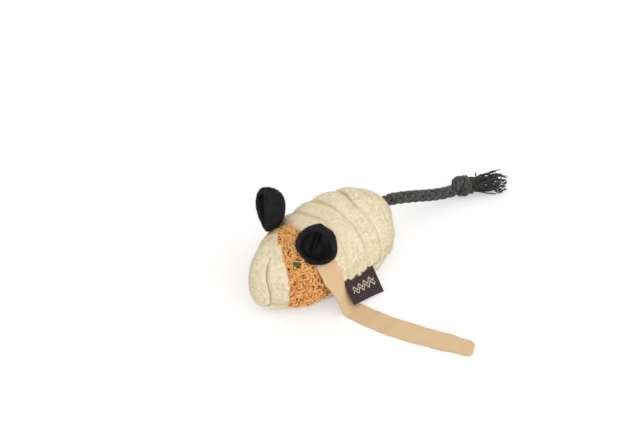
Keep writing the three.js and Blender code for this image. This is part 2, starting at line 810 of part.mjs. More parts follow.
for (const [side, word] of [[1, 'left'], [-1, 'right']]) {
  const placed = earGroup(side, ear[`${word}Lift`]);
  add(placed, `ear_${word}_lining`, earLayer(0), colours.black);
  add(placed, `ear_${word}_back`, earLayer(ear.layer + clearance), colours.black);
  group.add(placed);
  const stitched = add(group, `eye_${word}`, eyeGeometry(), colours.green, 0.5);
  placeEye(stitched, eye[`${word}Y`], radians(eye[`${word}Angle`]), eye[`${word}Lift`]);
}

add(group, 'tail_root', rootRun(rope.diameter, rootFrom, rootTo), colours.charcoal);
add(group, 'tail_rope', ropeGeometry(), colours.charcoal);
add(group, 'tail_knot', knotGeometry(), colours.charcoal);
add(group, 'tail_tassel', tasselGeometry(), colours.charcoal);

const sideLabel = add(group, 'side_label', labelGeometry(), colours.brown, 0.8);
sideLabel.rotation.set(Math.PI / 2, radians(label.slope), 0, 'YXZ');
const [hingeX, hingeZ] = [body.halfWidth - label.hingeInset, body.sideHeight + label.hingeRise];
sideLabel.position.set(hingeX, label.frontY + label.width, hingeZ);
add(group, 'loose_tape', tapeGeometry(), colours.tan);

export default group;
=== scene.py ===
import math
from functools import partial

import bpy
import numpy as np
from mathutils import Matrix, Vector


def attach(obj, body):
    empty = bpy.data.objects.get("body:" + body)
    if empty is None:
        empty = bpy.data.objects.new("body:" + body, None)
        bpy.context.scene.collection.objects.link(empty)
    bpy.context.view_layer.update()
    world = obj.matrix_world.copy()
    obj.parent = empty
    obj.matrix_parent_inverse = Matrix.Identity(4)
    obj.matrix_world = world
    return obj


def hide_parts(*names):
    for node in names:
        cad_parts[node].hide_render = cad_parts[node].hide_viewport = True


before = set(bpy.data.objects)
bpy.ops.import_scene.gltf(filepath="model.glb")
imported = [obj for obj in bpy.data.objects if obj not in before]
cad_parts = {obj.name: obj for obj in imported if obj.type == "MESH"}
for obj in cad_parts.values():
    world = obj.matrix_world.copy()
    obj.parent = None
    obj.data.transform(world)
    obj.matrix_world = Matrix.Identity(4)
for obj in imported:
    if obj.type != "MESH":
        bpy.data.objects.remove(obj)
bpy.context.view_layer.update()  # a plush catnip mouse: nose toward -Y, tail toward +Y, floor at z = 0
mm = 0.001  # shapes are worked out in millimetres and set down in metres
rng = np.random.default_rng(11)


# numbers and vectors

def lerp(a, b, t):
    return a + (b - a) * t


def smooth(x, start, end):
    # cubic step from 0 at start to 1 at end
    t = np.clip((x - start) / (end - start), 0, 1)
    return t * t * (3 - 2 * t)


def unit(v):
    return v / np.maximum(np.linalg.norm(v, axis=-1, keepdims=True), 1e-12)


def paint(red, green, blue):
    # an sRGB colour from 0 to 255 as the linear colour that Blender's sockets take
    c = np.array([red, green, blue]) / 255
    c = np.where(c > 0.04045, ((c + 0.055) / 1.055) ** 2.4, c / 12.92)
    return (*[float(v) for v in c], 1.0)


def softNoise(points, wave, seed, count=14):
    # sum of plane waves in random directions, each about one wave long; roughly -1 to 1
    dice = np.random.default_rng(seed)
    heading = unit(dice.normal(size=(count, 3))) * 2 * math.pi
    heading = heading / (wave * dice.uniform(0.75, 1.4, (count, 1)))
    phase = dice.uniform(0, 2 * math.pi, count)
    return np.sin(points @ heading.T + phase).sum(-1) / math.sqrt(count) / 1.1


# meshes. A shape is a dictionary of points, faces, face corners' UVs and a tone per point.
# Each corner has four numbers: the pattern's place in millimetres, then its place on the bake map.

def shapeOf(points, quads, quadUv, tone=0.5):
    # quads that have two equal corners, as at a pole, become triangles
    tris, triUv = [], []
    keep = np.ones(len(quads), bool)
    for corner, pick in ((1, [0, 2, 3]), (3, [0, 1, 2])):
        folded = keep & (quads[:, corner - 1] == quads[:, corner])
        tris.append(quads[folded][:, pick])
        triUv.append(quadUv[folded][:, pick])
        keep &= ~folded
    return dict(points=points, quads=quads[keep], quadUv=quadUv[keep], tris=np.concatenate(tris),
                triUv=np.concatenate(triUv), tone=np.broadcast_to(np.asarray(tone, float), len(points)))


def joined(*shapes):
    start = np.cumsum([0] + [len(s["points"]) for s in shapes])
    whole = {key: np.concatenate([s[key] for s in shapes]) for key in ("points", "quadUv", "triUv", "tone")}
    for key in ("quads", "tris"):
        whole[key] = np.concatenate([s[key] + first for s, first in zip(shapes, start)])
    return whole


def turned(shape):
    # the same shape with its faces looking the other way
    return dict(shape, quads=shape["quads"][:, ::-1], quadUv=shape["quadUv"][:, ::-1],
                tris=shape["tris"][:, ::-1], triUv=shape["triUv"][:, ::-1])


def facingOut(shape):
    # volume is the sum of the faces' signed cones from the origin; below zero means inside out
    p, q, t = shape["points"], shape["quads"], shape["tris"]
    fans = np.concatenate([q[:, [0, 1, 2]], q[:, [0, 2, 3]], t])
    volume = (p[fans[:, 0]] * np.cross(p[fans[:, 1]], p[fans[:, 2]])).sum()
    return shape if volume > 0 else turned(shape)


def makePiece(name, shape, material, body, slot, *nodes):
    # one closed mesh at the origin, which rides on a body and stands for the CAD nodes named
    corners = np.concatenate([shape["quads"].ravel(), shape["tris"].ravel()])
    used, corners = np.unique(corners, return_inverse=True)
    sizes = np.concatenate([np.full(len(shape["quads"]), 4), np.full(len(shape["tris"]), 3)])
    uv = np.concatenate([shape["quadUv"].reshape(-1, 4), shape["triUv"].reshape(-1, 4)])
    mesh = bpy.data.meshes.new(name)
    mesh.vertices.add(len(used))
    mesh.vertices.foreach_set("co", (shape["points"][used] * mm).astype(np.float32).ravel())
    mesh.loops.add(len(corners))
    mesh.loops.foreach_set("vertex_index", corners.astype(np.int32).ravel())
    mesh.polygons.add(len(sizes))
    mesh.polygons.foreach_set("loop_start", (np.cumsum(sizes) - sizes).astype(np.int32))
    mesh.polygons.foreach_set("use_smooth", np.ones(len(sizes), bool))
    for mapName, part in (("UVMap", uv[:, :2]), ("OFBake", uv[:, 2:])):
        mesh.uv_layers.new(name=mapName).data.foreach_set("uv", part.astype(np.float32).ravel())
    mesh.uv_layers["UVMap"].active_render = True
    toneMark = mesh.attributes.new("tone", "FLOAT", "POINT")
    toneMark.data.foreach_set("value", shape["tone"][used].astype(np.float32))
    mesh.update(calc_edges=True)
    mesh.materials.append(material)
    piece = bpy.data.objects.new(name, mesh)
    bpy.context.scene.collection.objects.link(piece)
    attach(piece, body)
    if nodes:
        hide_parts(*nodes)
    return piece


bakeFace, bakeRim, bakeBack = (0.24, 1.0), (0.18, 0.22), (0.0, 0.16)  # rows of the bake map
bothSides = ((1, "left"), (-1, "right"))


def shellShape(outer, inner, around=False, poleStart=False, poleEnd=False, pattern=None, tone=0.5):
    # closed wall between two matching grids of points, whose columns may run all round.
    # A pole row is one point. Pattern is the place of each grid point in millimetres.
    rows, cols = outer.shape[:2]
    wide = cols if around else cols - 1
    row, col = (g.ravel() for g in np.meshgrid(np.arange(rows - 1), np.arange(wide), indexing="ij"))
    if pattern is None:
        pattern = np.zeros((rows, cols, 2))

    def at(layer, i, j):
        j = np.where((poleStart & (i == 0)) | (poleEnd & (i == rows - 1)), 0, j % cols)
        return layer * rows * cols + i * cols + j

    def face(corners, band, strip=False):
        # corners are (layer, row, column) each; band is this part's rows of the bake map
        index = np.stack([at(*c) for c in corners], -1)
        across = [c[1] / (rows - 1) if strip == "side" else c[2] / wide for c in corners]
        down = [c[0] if strip else c[1] / (rows - 1) for c in corners]
        place = np.stack([np.stack([a, lerp(*band, d) + 0 * a], -1) for a, d in zip(across, down)], 1)
        mark = np.stack([pattern[c[1], c[2] % cols] for c in corners], 1)
        return index, np.concatenate([mark, place], -1)

    k, n = np.arange(wide), np.arange(rows - 1)
    first, last, edge = 0 * k, 0 * k + rows - 1, 0 * n + cols - 1
    parts = [
        face([(0, row, col), (0, row, col + 1), (0, row + 1, col + 1), (0, row + 1, col)], bakeFace),
        face([(1, row, col), (1, row + 1, col), (1, row + 1, col + 1), (1, row, col + 1)], bakeBack),
    ]
    if not poleStart:
        rim = [(0, first, k), (1, first, k), (1, first, k + 1), (0, first, k + 1)]
        parts.append(face(rim, bakeRim, "end"))
    if not poleEnd:
        rim = [(0, last, k), (0, last, k + 1), (1, last, k + 1), (1, last, k)]
        parts.append(face(rim, bakeRim, "end"))
    if not around:
        rims = ([(0, n, 0 * n), (0, n + 1, 0 * n), (1, n + 1, 0 * n), (1, n, 0 * n)],
                [(0, n, edge), (1, n, edge), (1, n + 1, edge), (0, n + 1, edge)])
        parts += [face(rim, bakeRim, "side") for rim in rims]
    points = np.concatenate([outer.reshape(-1, 3), inner.reshape(-1, 3)])
    tones = np.broadcast_to(np.asarray(tone, float), (rows, cols)).ravel()
    return facingOut(shapeOf(points, *(np.concatenate(p) for p in zip(*parts)), np.tile(tones, 2)))


def ringShape(grid, tone=0.5):
    # closed surface of rings, whose first and last rings are poles; it is a shell whose inner
    # side is left out
    whole = shellShape(grid, grid, True, True, True, tone=tone)
    half = len(grid) * grid.shape[1]
    outside = lambda faces: (faces < half).all(1)
    kept = dict(whole, points=whole["points"][:half], tone=whole["tone"][:half])
    for key, uv in (("quads", "quadUv"), ("tris", "triUv")):
        chosen = outside(whole[key])
        kept[key], kept[uv] = whole[key][chosen], whole[uv][chosen]
    return facingOut(kept)


def gridNormals(grid, inner, around=False):
    # cross product of the grid's two slopes, turned away from the inner grid
    if around:
        padded = np.concatenate([grid[:, -1:], grid, grid[:, :1]], 1)
        across = np.gradient(padded, axis=1)[:, 1:-1]
    else:
        across = np.gradient(grid, axis=1)
    normal = np.cross(np.gradient(grid, axis=0), across)
    flat = np.linalg.norm(normal, axis=-1, keepdims=True) < 1e-9
    normal = unit(np.where(flat, grid - inner, normal))
    return normal if (normal * (grid - inner)).sum() > 0 else -normal


def scatter(grid, normals, density, around=False, share=None):
    # random places on a grid, so many to a square millimetre, thinned by each point's share
    rows, cols = grid.shape[:2]
    after = (np.arange(cols if around else cols - 1) + 1) % cols
    here = after - 1
    p = [grid[:-1][:, here], grid[:-1][:, after], grid[1:][:, here], grid[1:][:, after]]
    area = np.linalg.norm(np.cross(p[3] - p[0], p[2] - p[1]), axis=-1) / 2
    if share is not None:
        area = area * share[:-1][:, here]
    total = int(area.sum() * density)
    cell = rng.choice(area.size, total, p=area.ravel() / area.sum())
    row, col = np.unravel_index(cell, area.shape)
    a, b = rng.random((2, total, 1))
    mix = lambda g: lerp(lerp(g[row, here[col]], g[row, after[col]], b),
                         lerp(g[row + 1, here[col]], g[row + 1, after[col]], b), a)
    place = np.stack([(col + b[:, 0]) / area.shape[1], lerp(*bakeFace, (row + a[:, 0]) / (rows - 1))], -1)
    return mix(grid), unit(mix(normals)), place


def napShape(grid, normals, nap, around=False, share=None):
    # short closed fibres: a small triangle at the cloth drawn up to one point, combed one way
    root, normal, place = scatter(grid, normals, nap["density"], around, share)
    total = len(root)
    long = nap["length"] * rng.uniform(0.6, 1.25, (total, 1))
    combed = np.array(nap["comb"]) + rng.normal(size=(total, 3)) * nap["stray"]
    heading = unit(normal + combed)
    side = unit(np.cross(heading, rng.normal(size=(total, 3))))
    other = np.cross(heading, side)
    turn = np.arange(3) * 2 * math.pi / 3
    ring = root[:, None] - normal[:, None] * nap["sink"] + nap["width"] / 2 * (
        side[:, None] * np.cos(turn)[:, None] + other[:, None] * np.sin(turn)[:, None])
    tip = root + heading * long
    points = np.concatenate([ring, tip[:, None]], 1)
    points[..., 2] = np.maximum(points[..., 2], 0.02)
    first = np.arange(total)[:, None, None] * 4
    tris = (first + np.array([[0, 1, 3], [1, 2, 3], [2, 0, 3], [0, 2, 1]])).reshape(-1, 3)
    speck = np.array([[0, 0], [1, 0], [0, 1]]) * 0.0004
    bakeUv = place[:, None, None] + np.broadcast_to(speck, (total, 4, 3, 2))
    uv = np.concatenate([np.zeros((total, 4, 3, 2)), bakeUv], -1)
    # each fibre's root is painted darker than its tip, as painted shade down among the fibres; own is a
    # random tone per fibre
    own = rng.normal(0, nap["toneSpread"], (total, 1))
    tone = np.clip(np.array([0.42, 0.42, 0.42, 0.62]) + own, 0, 1)
    return dict(points=points.reshape(-1, 3), quads=np.zeros((0, 4), int), quadUv=np.zeros((0, 4, 4)),
                tris=tris, triUv=uv.reshape(-1, 3, 4), tone=tone.ravel())


def carried(path):
    # a direction kept square to each path as it turns; paths are (strands, steps, 3)
    run = unit(np.gradient(path, axis=1))
    side = np.empty_like(path)
    seed = np.cross(run[:, 0], [0.3, 0.2, 1.0])
    for step in range(path.shape[1]):
        seed = unit(seed - (seed * run[:, step]).sum(-1, keepdims=True) * run[:, step])
        side[:, step] = seed
    return run, side


def tubeShape(path, radius, sides, side=None, flatness=1.0, tone=0.5):
    # a round or flattened section carried along each path, drawn to a point past both ends.
    # Flatness is the thickness along side as a share of the width.
    strands, steps = path.shape[:2]
    run, carriedSide = carried(path)
    side = carriedSide if side is None else unit(side - (side * run).sum(-1, keepdims=True) * run)
    other = np.cross(run, side)
    radius = np.broadcast_to(np.asarray(radius, float), (strands, steps))[..., None, None]
    turn = (np.arange(sides) * 2 * math.pi / sides)[:, None]
    rings = path[:, :, None] + radius * (flatness * np.cos(turn) * side[:, :, None]
                                         + np.sin(turn) * other[:, :, None])
    reach = radius[:, :, 0] * 0.6
    poles = [np.broadcast_to((path[:, e] + sign * run[:, e] * reach[:, e])[:, None, None],
                             (strands, 1, sides, 3))
             for e, sign in ((0, -1), (-1, 1))]
    points = np.concatenate([poles[0], rings, poles[1]], 1)
    rows = steps + 2
    counts = np.arange(strands), np.arange(rows - 1), np.arange(sides)
    s, i, j = (g.ravel() for g in np.meshgrid(*counts, indexing="ij"))

    def at(i, j):
        return (s * rows + i) * sides + np.where((i == 0) | (i == rows - 1), 0, j % sides)

    length = np.linalg.norm(np.diff(points[:, :, 0], axis=1), axis=-1)
    along = np.concatenate([np.zeros((strands, 1)), np.cumsum(length, 1)], 1)
    columns = math.ceil(math.sqrt(strands))
    lines = math.ceil(strands / columns)

    def mark(i, j):
        cell = np.stack([(s % columns + 0.06 + 0.88 * i / (rows - 1)) / columns,
                         (s // columns + 0.06 + 0.88 * j / sides) / lines], -1)
        return np.concatenate([np.stack([along[s, i], j / sides], -1), cell], -1)

    corners = [(i, j), (i, j + 1), (i + 1, j + 1), (i + 1, j)]
    quads = np.stack([at(*c) for c in corners], -1)
    uv = np.stack([mark(*c) for c in corners], 1)
    tone = np.asarray(tone, float)
    tone = tone[:, None, None] if tone.ndim == 1 else tone[..., None] if tone.ndim == 2 else tone
    if tone.ndim == 3 and tone.shape[1] == steps:
        tone = np.concatenate([tone[:, :1], tone, tone[:, -1:]], 1)
    tones = np.broadcast_to(tone, (strands, rows, sides)).ravel()
    return facingOut(shapeOf(points.reshape(-1, 3), quads, uv, tones))


def smoothRoute(stops, spacing):
    # centripetal Catmull-Rom curve through the stops, then points evenly spaced along it
    p = np.array(stops, float)
    p = np.concatenate([2 * p[:1] - p[1:2], p, 2 * p[-1:] - p[-2:-1]])
    t = np.linspace(0, 1, 60, endpoint=False)[:, None]
    runs = []
    for a, b, c, d in zip(p, p[1:], p[2:], p[3:]):
        g0, g1, g2 = (math.sqrt(np.linalg.norm(v)) for v in (b - a, c - b, d - c))
        m1 = ((b - a) / g0 - (c - a) / (g0 + g1) + (c - b) / g1) * g1
        m2 = ((c - b) / g1 - (d - b) / (g1 + g2) + (d - c) / g2) * g1
        runs.append(b + m1 * t + (3 * (c - b) - 2 * m1 - m2) * t ** 2 + (2 * (b - c) + m1 + m2) * t ** 3)
    line = np.concatenate([*runs, p[-2:-1]])
    gone = np.concatenate([[0], np.cumsum(np.linalg.norm(np.diff(line, axis=0), axis=1))])
    even = np.linspace(0, gone[-1], max(int(round(gone[-1] / spacing)), 2) + 1)
    return np.stack([np.interp(even, gone, line[:, a]) for a in range(3)], -1), gone[-1]


# camera

view = dict(azimuth=48, elevation=44, distance=1.2, lens=99.26, sensor=36, shiftX=-0.0008, shiftY=0.0794)
turnTo, rise = math.radians(view["azimuth"]), math.radians(view["elevation"])
toCamera = Vector((math.sin(turnTo) * math.cos(rise), -math.cos(turnTo) * math.cos(rise), math.sin(rise)))
lensData = bpy.data.cameras.new("photoCamera")
lensData.lens, lensData.sensor_width = view["lens"], view["sensor"]
lensData.shift_x, lensData.shift_y = view["shiftX"], view["shiftY"]
camera = bpy.data.objects.new("photoCamera", lensData)
camera.location = toCamera * view["distance"]
camera.rotation_euler = toCamera.to_track_quat("Z", "Y").to_euler()
bpy.context.scene.collection.objects.link(camera)
bpy.context.scene.camera = camera
bpy.context.scene.view_settings.view_transform = "Standard"
print("camera set")


# material helpers

def addNode(tree, kind, inputs=None, **settings):
    # a node with its settings; an input given as a socket is linked, otherwise set
    made = tree.nodes.new(kind)
    for key, value in settings.items():
        setattr(made, key, value)
    for key, value in (inputs or {}).items():
        if isinstance(value, bpy.types.NodeSocket):
            tree.links.new(value, made.inputs[key])
        else:
            made.inputs[key].default_value = value
    return made


def mixColour(tree, factor, a, b, blend="MIX"):
    made = addNode(tree, "ShaderNodeMix", data_type="RGBA", blend_type=blend)
    for socket, value in ((made.inputs[0], factor), (made.inputs[6], a), (made.inputs[7], b)):
        if isinstance(value, bpy.types.NodeSocket):
            tree.links.new(value, socket)
        else:
            socket.default_value = value
    return made.outputs[2]


def maths(tree, operation, a, b=0.0, c=0.0):
    made = addNode(tree, "ShaderNodeMath", operation=operation)
    for socket, value in zip(made.inputs, (a, b, c)):
        if isinstance(value, bpy.types.NodeSocket):
            tree.links.new(value, socket)
        else:
            socket.default_value = value
    return made.outputs[0]


def ramp(tree, value, low, high, toLow=0.0, toHigh=1.0):
    made = addNode(tree, "ShaderNodeMapRange", {0: value, 1: low, 2: high, 3: toLow, 4: toHigh},
                   interpolation_type="SMOOTHSTEP")
    return made.outputs[0]


def noise(tree, scale, detail):
    spot = addNode(tree, "ShaderNodeTexCoord").outputs["Object"]
    return addNode(tree, "ShaderNodeTexNoise",
                   {"Vector": spot, "Scale": scale, "Detail": detail}).outputs[0]


def clothPlace(tree):
    # a point's place on its piece's own map, in millimetres
    flat = addNode(tree, "ShaderNodeUVMap", uv_map="UVMap").outputs[0]
    return addNode(tree, "ShaderNodeSeparateXYZ", {0: flat}).outputs


def toneOf(tree):
    return addNode(tree, "ShaderNodeAttribute", attribute_name="tone").outputs["Fac"]


def clothGroup(name, numbers):
    # an empty node group with two colours and named numbers in, and a colour and a relief height out
    tree = bpy.data.node_groups.new(name, "ShaderNodeTree")
    for label, value in {"Light": (1, 1, 1, 1), "Dark": (0.2, 0.2, 0.2, 1), **numbers}.items():
        kind = "NodeSocketColor" if isinstance(value, tuple) else "NodeSocketFloat"
        tree.interface.new_socket(name=label, in_out="INPUT", socket_type=kind).default_value = value
    for label, kind in (("Color", "NodeSocketColor"), ("Height", "NodeSocketFloat")):
        tree.interface.new_socket(name=label, in_out="OUTPUT", socket_type=kind)
    return tree, tree.nodes.new("NodeGroupInput").outputs, partial(maths, tree)


def finishGroup(tree, given, level, height):
    # the colour runs from dark to light by a level held between 0 and 1
    result = tree.nodes.new("NodeGroupOutput").inputs
    level = maths(tree, "MINIMUM", maths(tree, "MAXIMUM", level, 0.0), 1.0)
    tree.links.new(mixColour(tree, level, given["Dark"], given["Light"]), result["Color"])
    tree.links.new(height, result["Height"])


# brushed pile: slow patches painted lighter and darker as the painted sheen and shade of nap that lies
# different ways, fine speckle, and each fibre's tone, which is painted darker toward its root as shade
pile, given, calc = clothGroup("brushedPile", {"Patch Size": 9.0, "Fibre Size": 0.5, "Contrast": 1.0})
patches = noise(pile, calc("DIVIDE", 1000.0, given["Patch Size"]), 2.0)
fibres = noise(pile, calc("DIVIDE", 1000.0, given["Fibre Size"]), 2.0)
level = calc("MULTIPLY", ramp(pile, patches, 0.3, 0.7), 0.35)
level = calc("ADD", level, calc("MULTIPLY", ramp(pile, fibres, 0.25, 0.75), 0.25))
level = calc("ADD", level, calc("MULTIPLY", toneOf(pile), 0.6))
level = calc("MULTIPLY_ADD", calc("SUBTRACT", level, 0.6), given["Contrast"], 0.6)
finishGroup(pile, given, level, fibres)

# twisted yarn: slanting plies across the strand's own map, each painted darker toward the grooves between
# plies as painted shade, with loose hairs of lighter fibre
yarn, given, calc = clothGroup("twistedYarn", {"Ply Pitch": 2.2, "Plies": 3.0, "Hair": 0.5})
place = clothPlace(yarn)
slant = calc("ADD", calc("DIVIDE", place[0], given["Ply Pitch"]),
             calc("MULTIPLY", place[1], given["Plies"]))
ply = calc("ABSOLUTE", calc("SINE", calc("MULTIPLY", slant, math.pi)))
hairs = noise(yarn, 2200.0, 3.0)
level = calc("MULTIPLY", ply, 0.35)
level = calc("ADD", level, calc("MULTIPLY", calc("SUBTRACT", hairs, 0.5), given["Hair"]))
level = calc("ADD", level, calc("MULTIPLY", toneOf(yarn), 0.8))
finishGroup(yarn, given, level, calc("ADD", ply, calc("MULTIPLY", hairs, 0.5)))

# woven or knitted cloth: two sets of ribs on the piece's own map in millimetres, slanted by a share, with
# painted shade in the valleys between ribs
weave, given, calc = clothGroup("wovenRibs",
                                {"Rib Width": 0.8, "Cross Width": 0.8, "Slant": 0.0, "Wear": 0.3})


def ribs(along, width):
    return calc("ABSOLUTE", calc("SINE", calc("DIVIDE", calc("MULTIPLY", along, math.pi), width)))


place = clothPlace(weave)
leaned = ribs(calc("MULTIPLY_ADD", place[1], given["Slant"], place[0]), given["Rib Width"])
cross = ribs(place[1], given["Cross Width"])
height = calc("MULTIPLY", leaned, calc("MULTIPLY_ADD", cross, 0.4, 0.6))
# the colour follows the ribs' height: painted shade in the valleys between ribs
level = calc("MULTIPLY_ADD", height, 0.5, 0.4)
level = calc("MULTIPLY_ADD", calc("SUBTRACT", noise(weave, 140.0, 4.0), 0.5), given["Wear"], level)
finishGroup(weave, given, level, height)


def clothMaterial(name, group, values, roughness, bump, sheen=0.0, sheenTint=(1, 1, 1, 1), specular=0.3):
    # a group's colour and height on one Principled shader; bump is the relief's depth in millimetres
    made = bpy.data.materials.new(name)
    made.use_nodes = True
    tree = made.node_tree
    shader = tree.nodes["Principled BSDF"]
    source = tree.nodes.new("ShaderNodeGroup")
    source.node_tree = group
    for key, value in values.items():
        source.inputs[key].default_value = value
    tree.links.new(source.outputs["Color"], shader.inputs["Base Color"])
    relief = addNode(tree, "ShaderNodeBump",
                     {"Height": source.outputs["Height"], "Distance": bump * mm, "Strength": 1.0})
    tree.links.new(relief.outputs[0], shader.inputs["Normal"])
    shader.inputs["Roughness"].default_value = roughness
    shader.inputs["Specular IOR Level"].default_value = specular
    shader.inputs["Sheen Weight"].default_value = sheen
    shader.inputs["Sheen Roughness"].default_value = 0.5
    shader.inputs["Sheen Tint"].default_value = sheenTint
    return made


creamPlush = clothMaterial(
    "creamPlush", pile,
    {"Light": paint(255, 245, 216), "Dark": paint(238, 220, 184), "Patch Size": 11.0, "Fibre Size": 0.8,
     "Contrast": 0.8},
    roughness=0.95, bump=0.12, sheen=0.12)
blackPlush = clothMaterial(
    "blackPlush", pile,
    {"Light": paint(44, 43, 46), "Dark": paint(5, 5, 6), "Patch Size": 7.0, "Fibre Size": 0.6,
     "Contrast": 1.2},
    roughness=0.85, bump=0.15, sheen=0.12, sheenTint=paint(150, 150, 158))
# the ear lining: black cloth without nap, its colours painted darker than the back's as the shade inside
# the cup
shadedBlackLining = clothMaterial(
    "shadedBlackLining", pile,
    {"Light": paint(11, 10, 12), "Dark": paint(4, 4, 5), "Patch Size": 6.0, "Fibre Size": 1.2,
     "Contrast": 1.0},
    roughness=0.6, bump=0.06, sheen=0.06, sheenTint=paint(150, 150, 158), specular=0.3)
# the face's knitted ground, its colours painted darker than the yarns' as the shade in the gaps between
# them
shadedApricotGround = clothMaterial(
    "shadedApricotGround", weave,
    {"Light": paint(196, 104, 52), "Dark": paint(140, 62, 26), "Rib Width": 1.1, "Cross Width": 1.0,
     "Slant": 0.0, "Wear": 0.4},
    roughness=0.95, bump=0.3, sheen=0.1)
apricotYarn = clothMaterial(
    "apricotYarn", yarn,
    {"Light": paint(255, 200, 124), "Dark": paint(188, 76, 18), "Ply Pitch": 1.1, "Plies": 2.0,
     "Hair": 0.25},
    roughness=0.85, bump=0.12, sheen=0.1)
charcoalYarn = clothMaterial(
    "charcoalYarn", yarn,
    {"Light": paint(94, 92, 89), "Dark": paint(14, 14, 14), "Ply Pitch": 2.4, "Plies": 3.0,
     "Hair": 0.7},
    roughness=0.85, bump=0.3, sheen=0.15)
tanTape = clothMaterial(
    "tanTape", weave,
    {"Light": paint(234, 202, 160), "Dark": paint(212, 176, 130), "Rib Width": 1.0, "Cross Width": 1.6,
     "Slant": 0.7, "Wear": 0.35},
    roughness=0.9, bump=0.14, sheen=0.1)
greenThread = clothMaterial(
    "greenThread", yarn,
    {"Light": paint(92, 128, 66), "Dark": paint(22, 44, 18), "Ply Pitch": 0.9, "Plies": 2.0,
     "Hair": 0.3},
    roughness=0.5, bump=0.08, sheen=0.0)
whiteFibre = clothMaterial(
    "whiteFibre", pile,
    {"Light": paint(248, 247, 243), "Dark": paint(214, 212, 205), "Patch Size": 5.0, "Fibre Size": 0.4,
     "Contrast": 1.2},
    roughness=1.0, bump=0.5, sheen=0.2)
muslinCloth = clothMaterial(
    "muslinCloth", weave,
    {"Light": paint(240, 232, 214), "Dark": paint(204, 192, 166), "Rib Width": 0.5, "Cross Width": 0.5,
     "Slant": 0.0, "Wear": 0.3},
    roughness=0.95, bump=0.12)
driedLeaf = clothMaterial(
    "driedLeaf", pile,
    {"Light": paint(142, 146, 84), "Dark": paint(74, 78, 40), "Patch Size": 3.0, "Fibre Size": 0.5,
     "Contrast": 1.6},
    roughness=0.95, bump=0.3)
labelSatin = clothMaterial(
    "labelSatin", weave,
    {"Light": paint(60, 36, 37), "Dark": paint(38, 21, 23), "Rib Width": 0.35, "Cross Width": 0.5,
     "Slant": 0.4, "Wear": 0.3},
    roughness=0.6, bump=0.05, sheen=0.1)
# a pale zigzag woven into the label's outer face, in millimetres of its own map
zigzag = dict(period=4.6, rise=3.2, levels=(-12.2, -9.8), line=0.38, middle=12.5, reach=9.2)
tree = labelSatin.node_tree
place = clothPlace(tree)
wander = maths(tree, "PINGPONG", place[0], zigzag["period"] / 2)
climb = maths(tree, "MULTIPLY_ADD", wander, -2 * zigzag["rise"] / zigzag["period"], place[1])
strokes = [maths(tree, "COMPARE", climb, level, zigzag["line"]) for level in zigzag["levels"]]
within = maths(tree, "COMPARE", place[0], zigzag["middle"], zigzag["reach"])
woven = maths(tree, "MULTIPLY", maths(tree, "MAXIMUM", *strokes), within)
base = tree.nodes["Principled BSDF"].inputs["Base Color"]
tree.links.new(mixColour(tree, woven, base.links[0].from_socket, paint(226, 214, 190)), base)
print("materials made")


# body surface, the same formulas as the solids

body = dict(noseY=-58.8, rumpY=62.0, broadestY=12.0, highestY=1.5, halfWidth=33.0, height=50.5,
            sideHeight=15.5, flatCut=1.0, noseWidth=1.95, rumpWidth=1.95, noseHeight=2.5,
            rumpHeight=2.8, bellyGain=1.1, backSection=2.35, bellySection=3.0)
seam = dict(sideAngle=92, endDrop=36, highY=8, levelReach=8, fullReach=40, gap=0.05)
creases = dict(crest=[0.112, 0.155, 0.205, 0.335, 0.49, 0.603, 0.714, 0.845],
               side=[0.052, 0.09, 0.13, 0.362, 0.466, 0.603, 0.721, 0.836],
               early=[8, 5, 3.5, 1, 1.8, 1.8, 1.8, 1.8], late=[1, 1, 1, 4, 1.1, 1.1, 1.6, 1.1],
               lap=[0.17, 0.155, 0.145, -0.046, -0.028, 0, 0.04, 0],
               lapAt=[-0.24, -0.26, -0.31, 0.52, -0.3, 0, -0.3, 0],
               lapReach=[0.15, 0.16, 0.18, 0.17, 0.2, 1, 0.25, 1],
               depth=[1.25, 0.1, 0.8, 1.0, 0.85, 0.95, 1.0, 0.4])
lastBand = 8


def fullness(y, depth, centreY, frontPower, rearPower):
    # superellipse: 1 where the body is broadest, 0 at its tips
    front = y < centreY
    reach = np.where(front, centreY - body["noseY"] - depth, body["rumpY"] - depth - centreY)
    power = np.where(front, frontPower, rearPower)
    away = np.minimum(np.abs(y - centreY) / reach, 1)
    return (1 - away ** power) ** (1 / power)


def halfWidthAt(y, depth):
    return (body["halfWidth"] - depth) * fullness(y, depth, body["broadestY"],
                                                  body["noseWidth"], body["rumpWidth"])


def bodyPoint(y, angle, depth):
    # half sections are superellipses by polar angle, from straight up toward +X
    rise = (body["height"] - body["sideHeight"] - depth) * fullness(
        y, depth, body["highestY"], body["noseHeight"], body["rumpHeight"])
    drop = (body["sideHeight"] + body["flatCut"] - depth) * fullness(
        y, depth, body["broadestY"], body["noseWidth"] + body["bellyGain"],
        body["rumpWidth"] + body["bellyGain"])
    sine, cosine = np.sin(angle), np.cos(angle)
    power = np.where(cosine > 0, body["backSection"], body["bellySection"])
    radius = (np.abs(sine) ** power + np.abs(cosine) ** power) ** (-1 / power)
    z = body["sideHeight"] + np.where(cosine > 0, rise, drop) * radius * cosine
    return np.stack(np.broadcast_arrays(halfWidthAt(y, depth) * radius * sine, y, np.maximum(z, 0)), -1)


def creaseY(k, s):
    # from the crest to the side seam, early or late in its turn; the snout's wraps are lapped back
    # over the right cheek
    turn = (1 - (1 - np.minimum(np.abs(s), 1)) ** creases["early"][k]) ** creases["late"][k]
    lap = creases["lap"][k] * np.exp(-((s - creases["lapAt"][k]) / creases["lapReach"][k]) ** 2)
    share = lerp(creases["crest"][k], creases["side"][k], turn) + lap
    return lerp(body["noseY"], body["rumpY"], share)


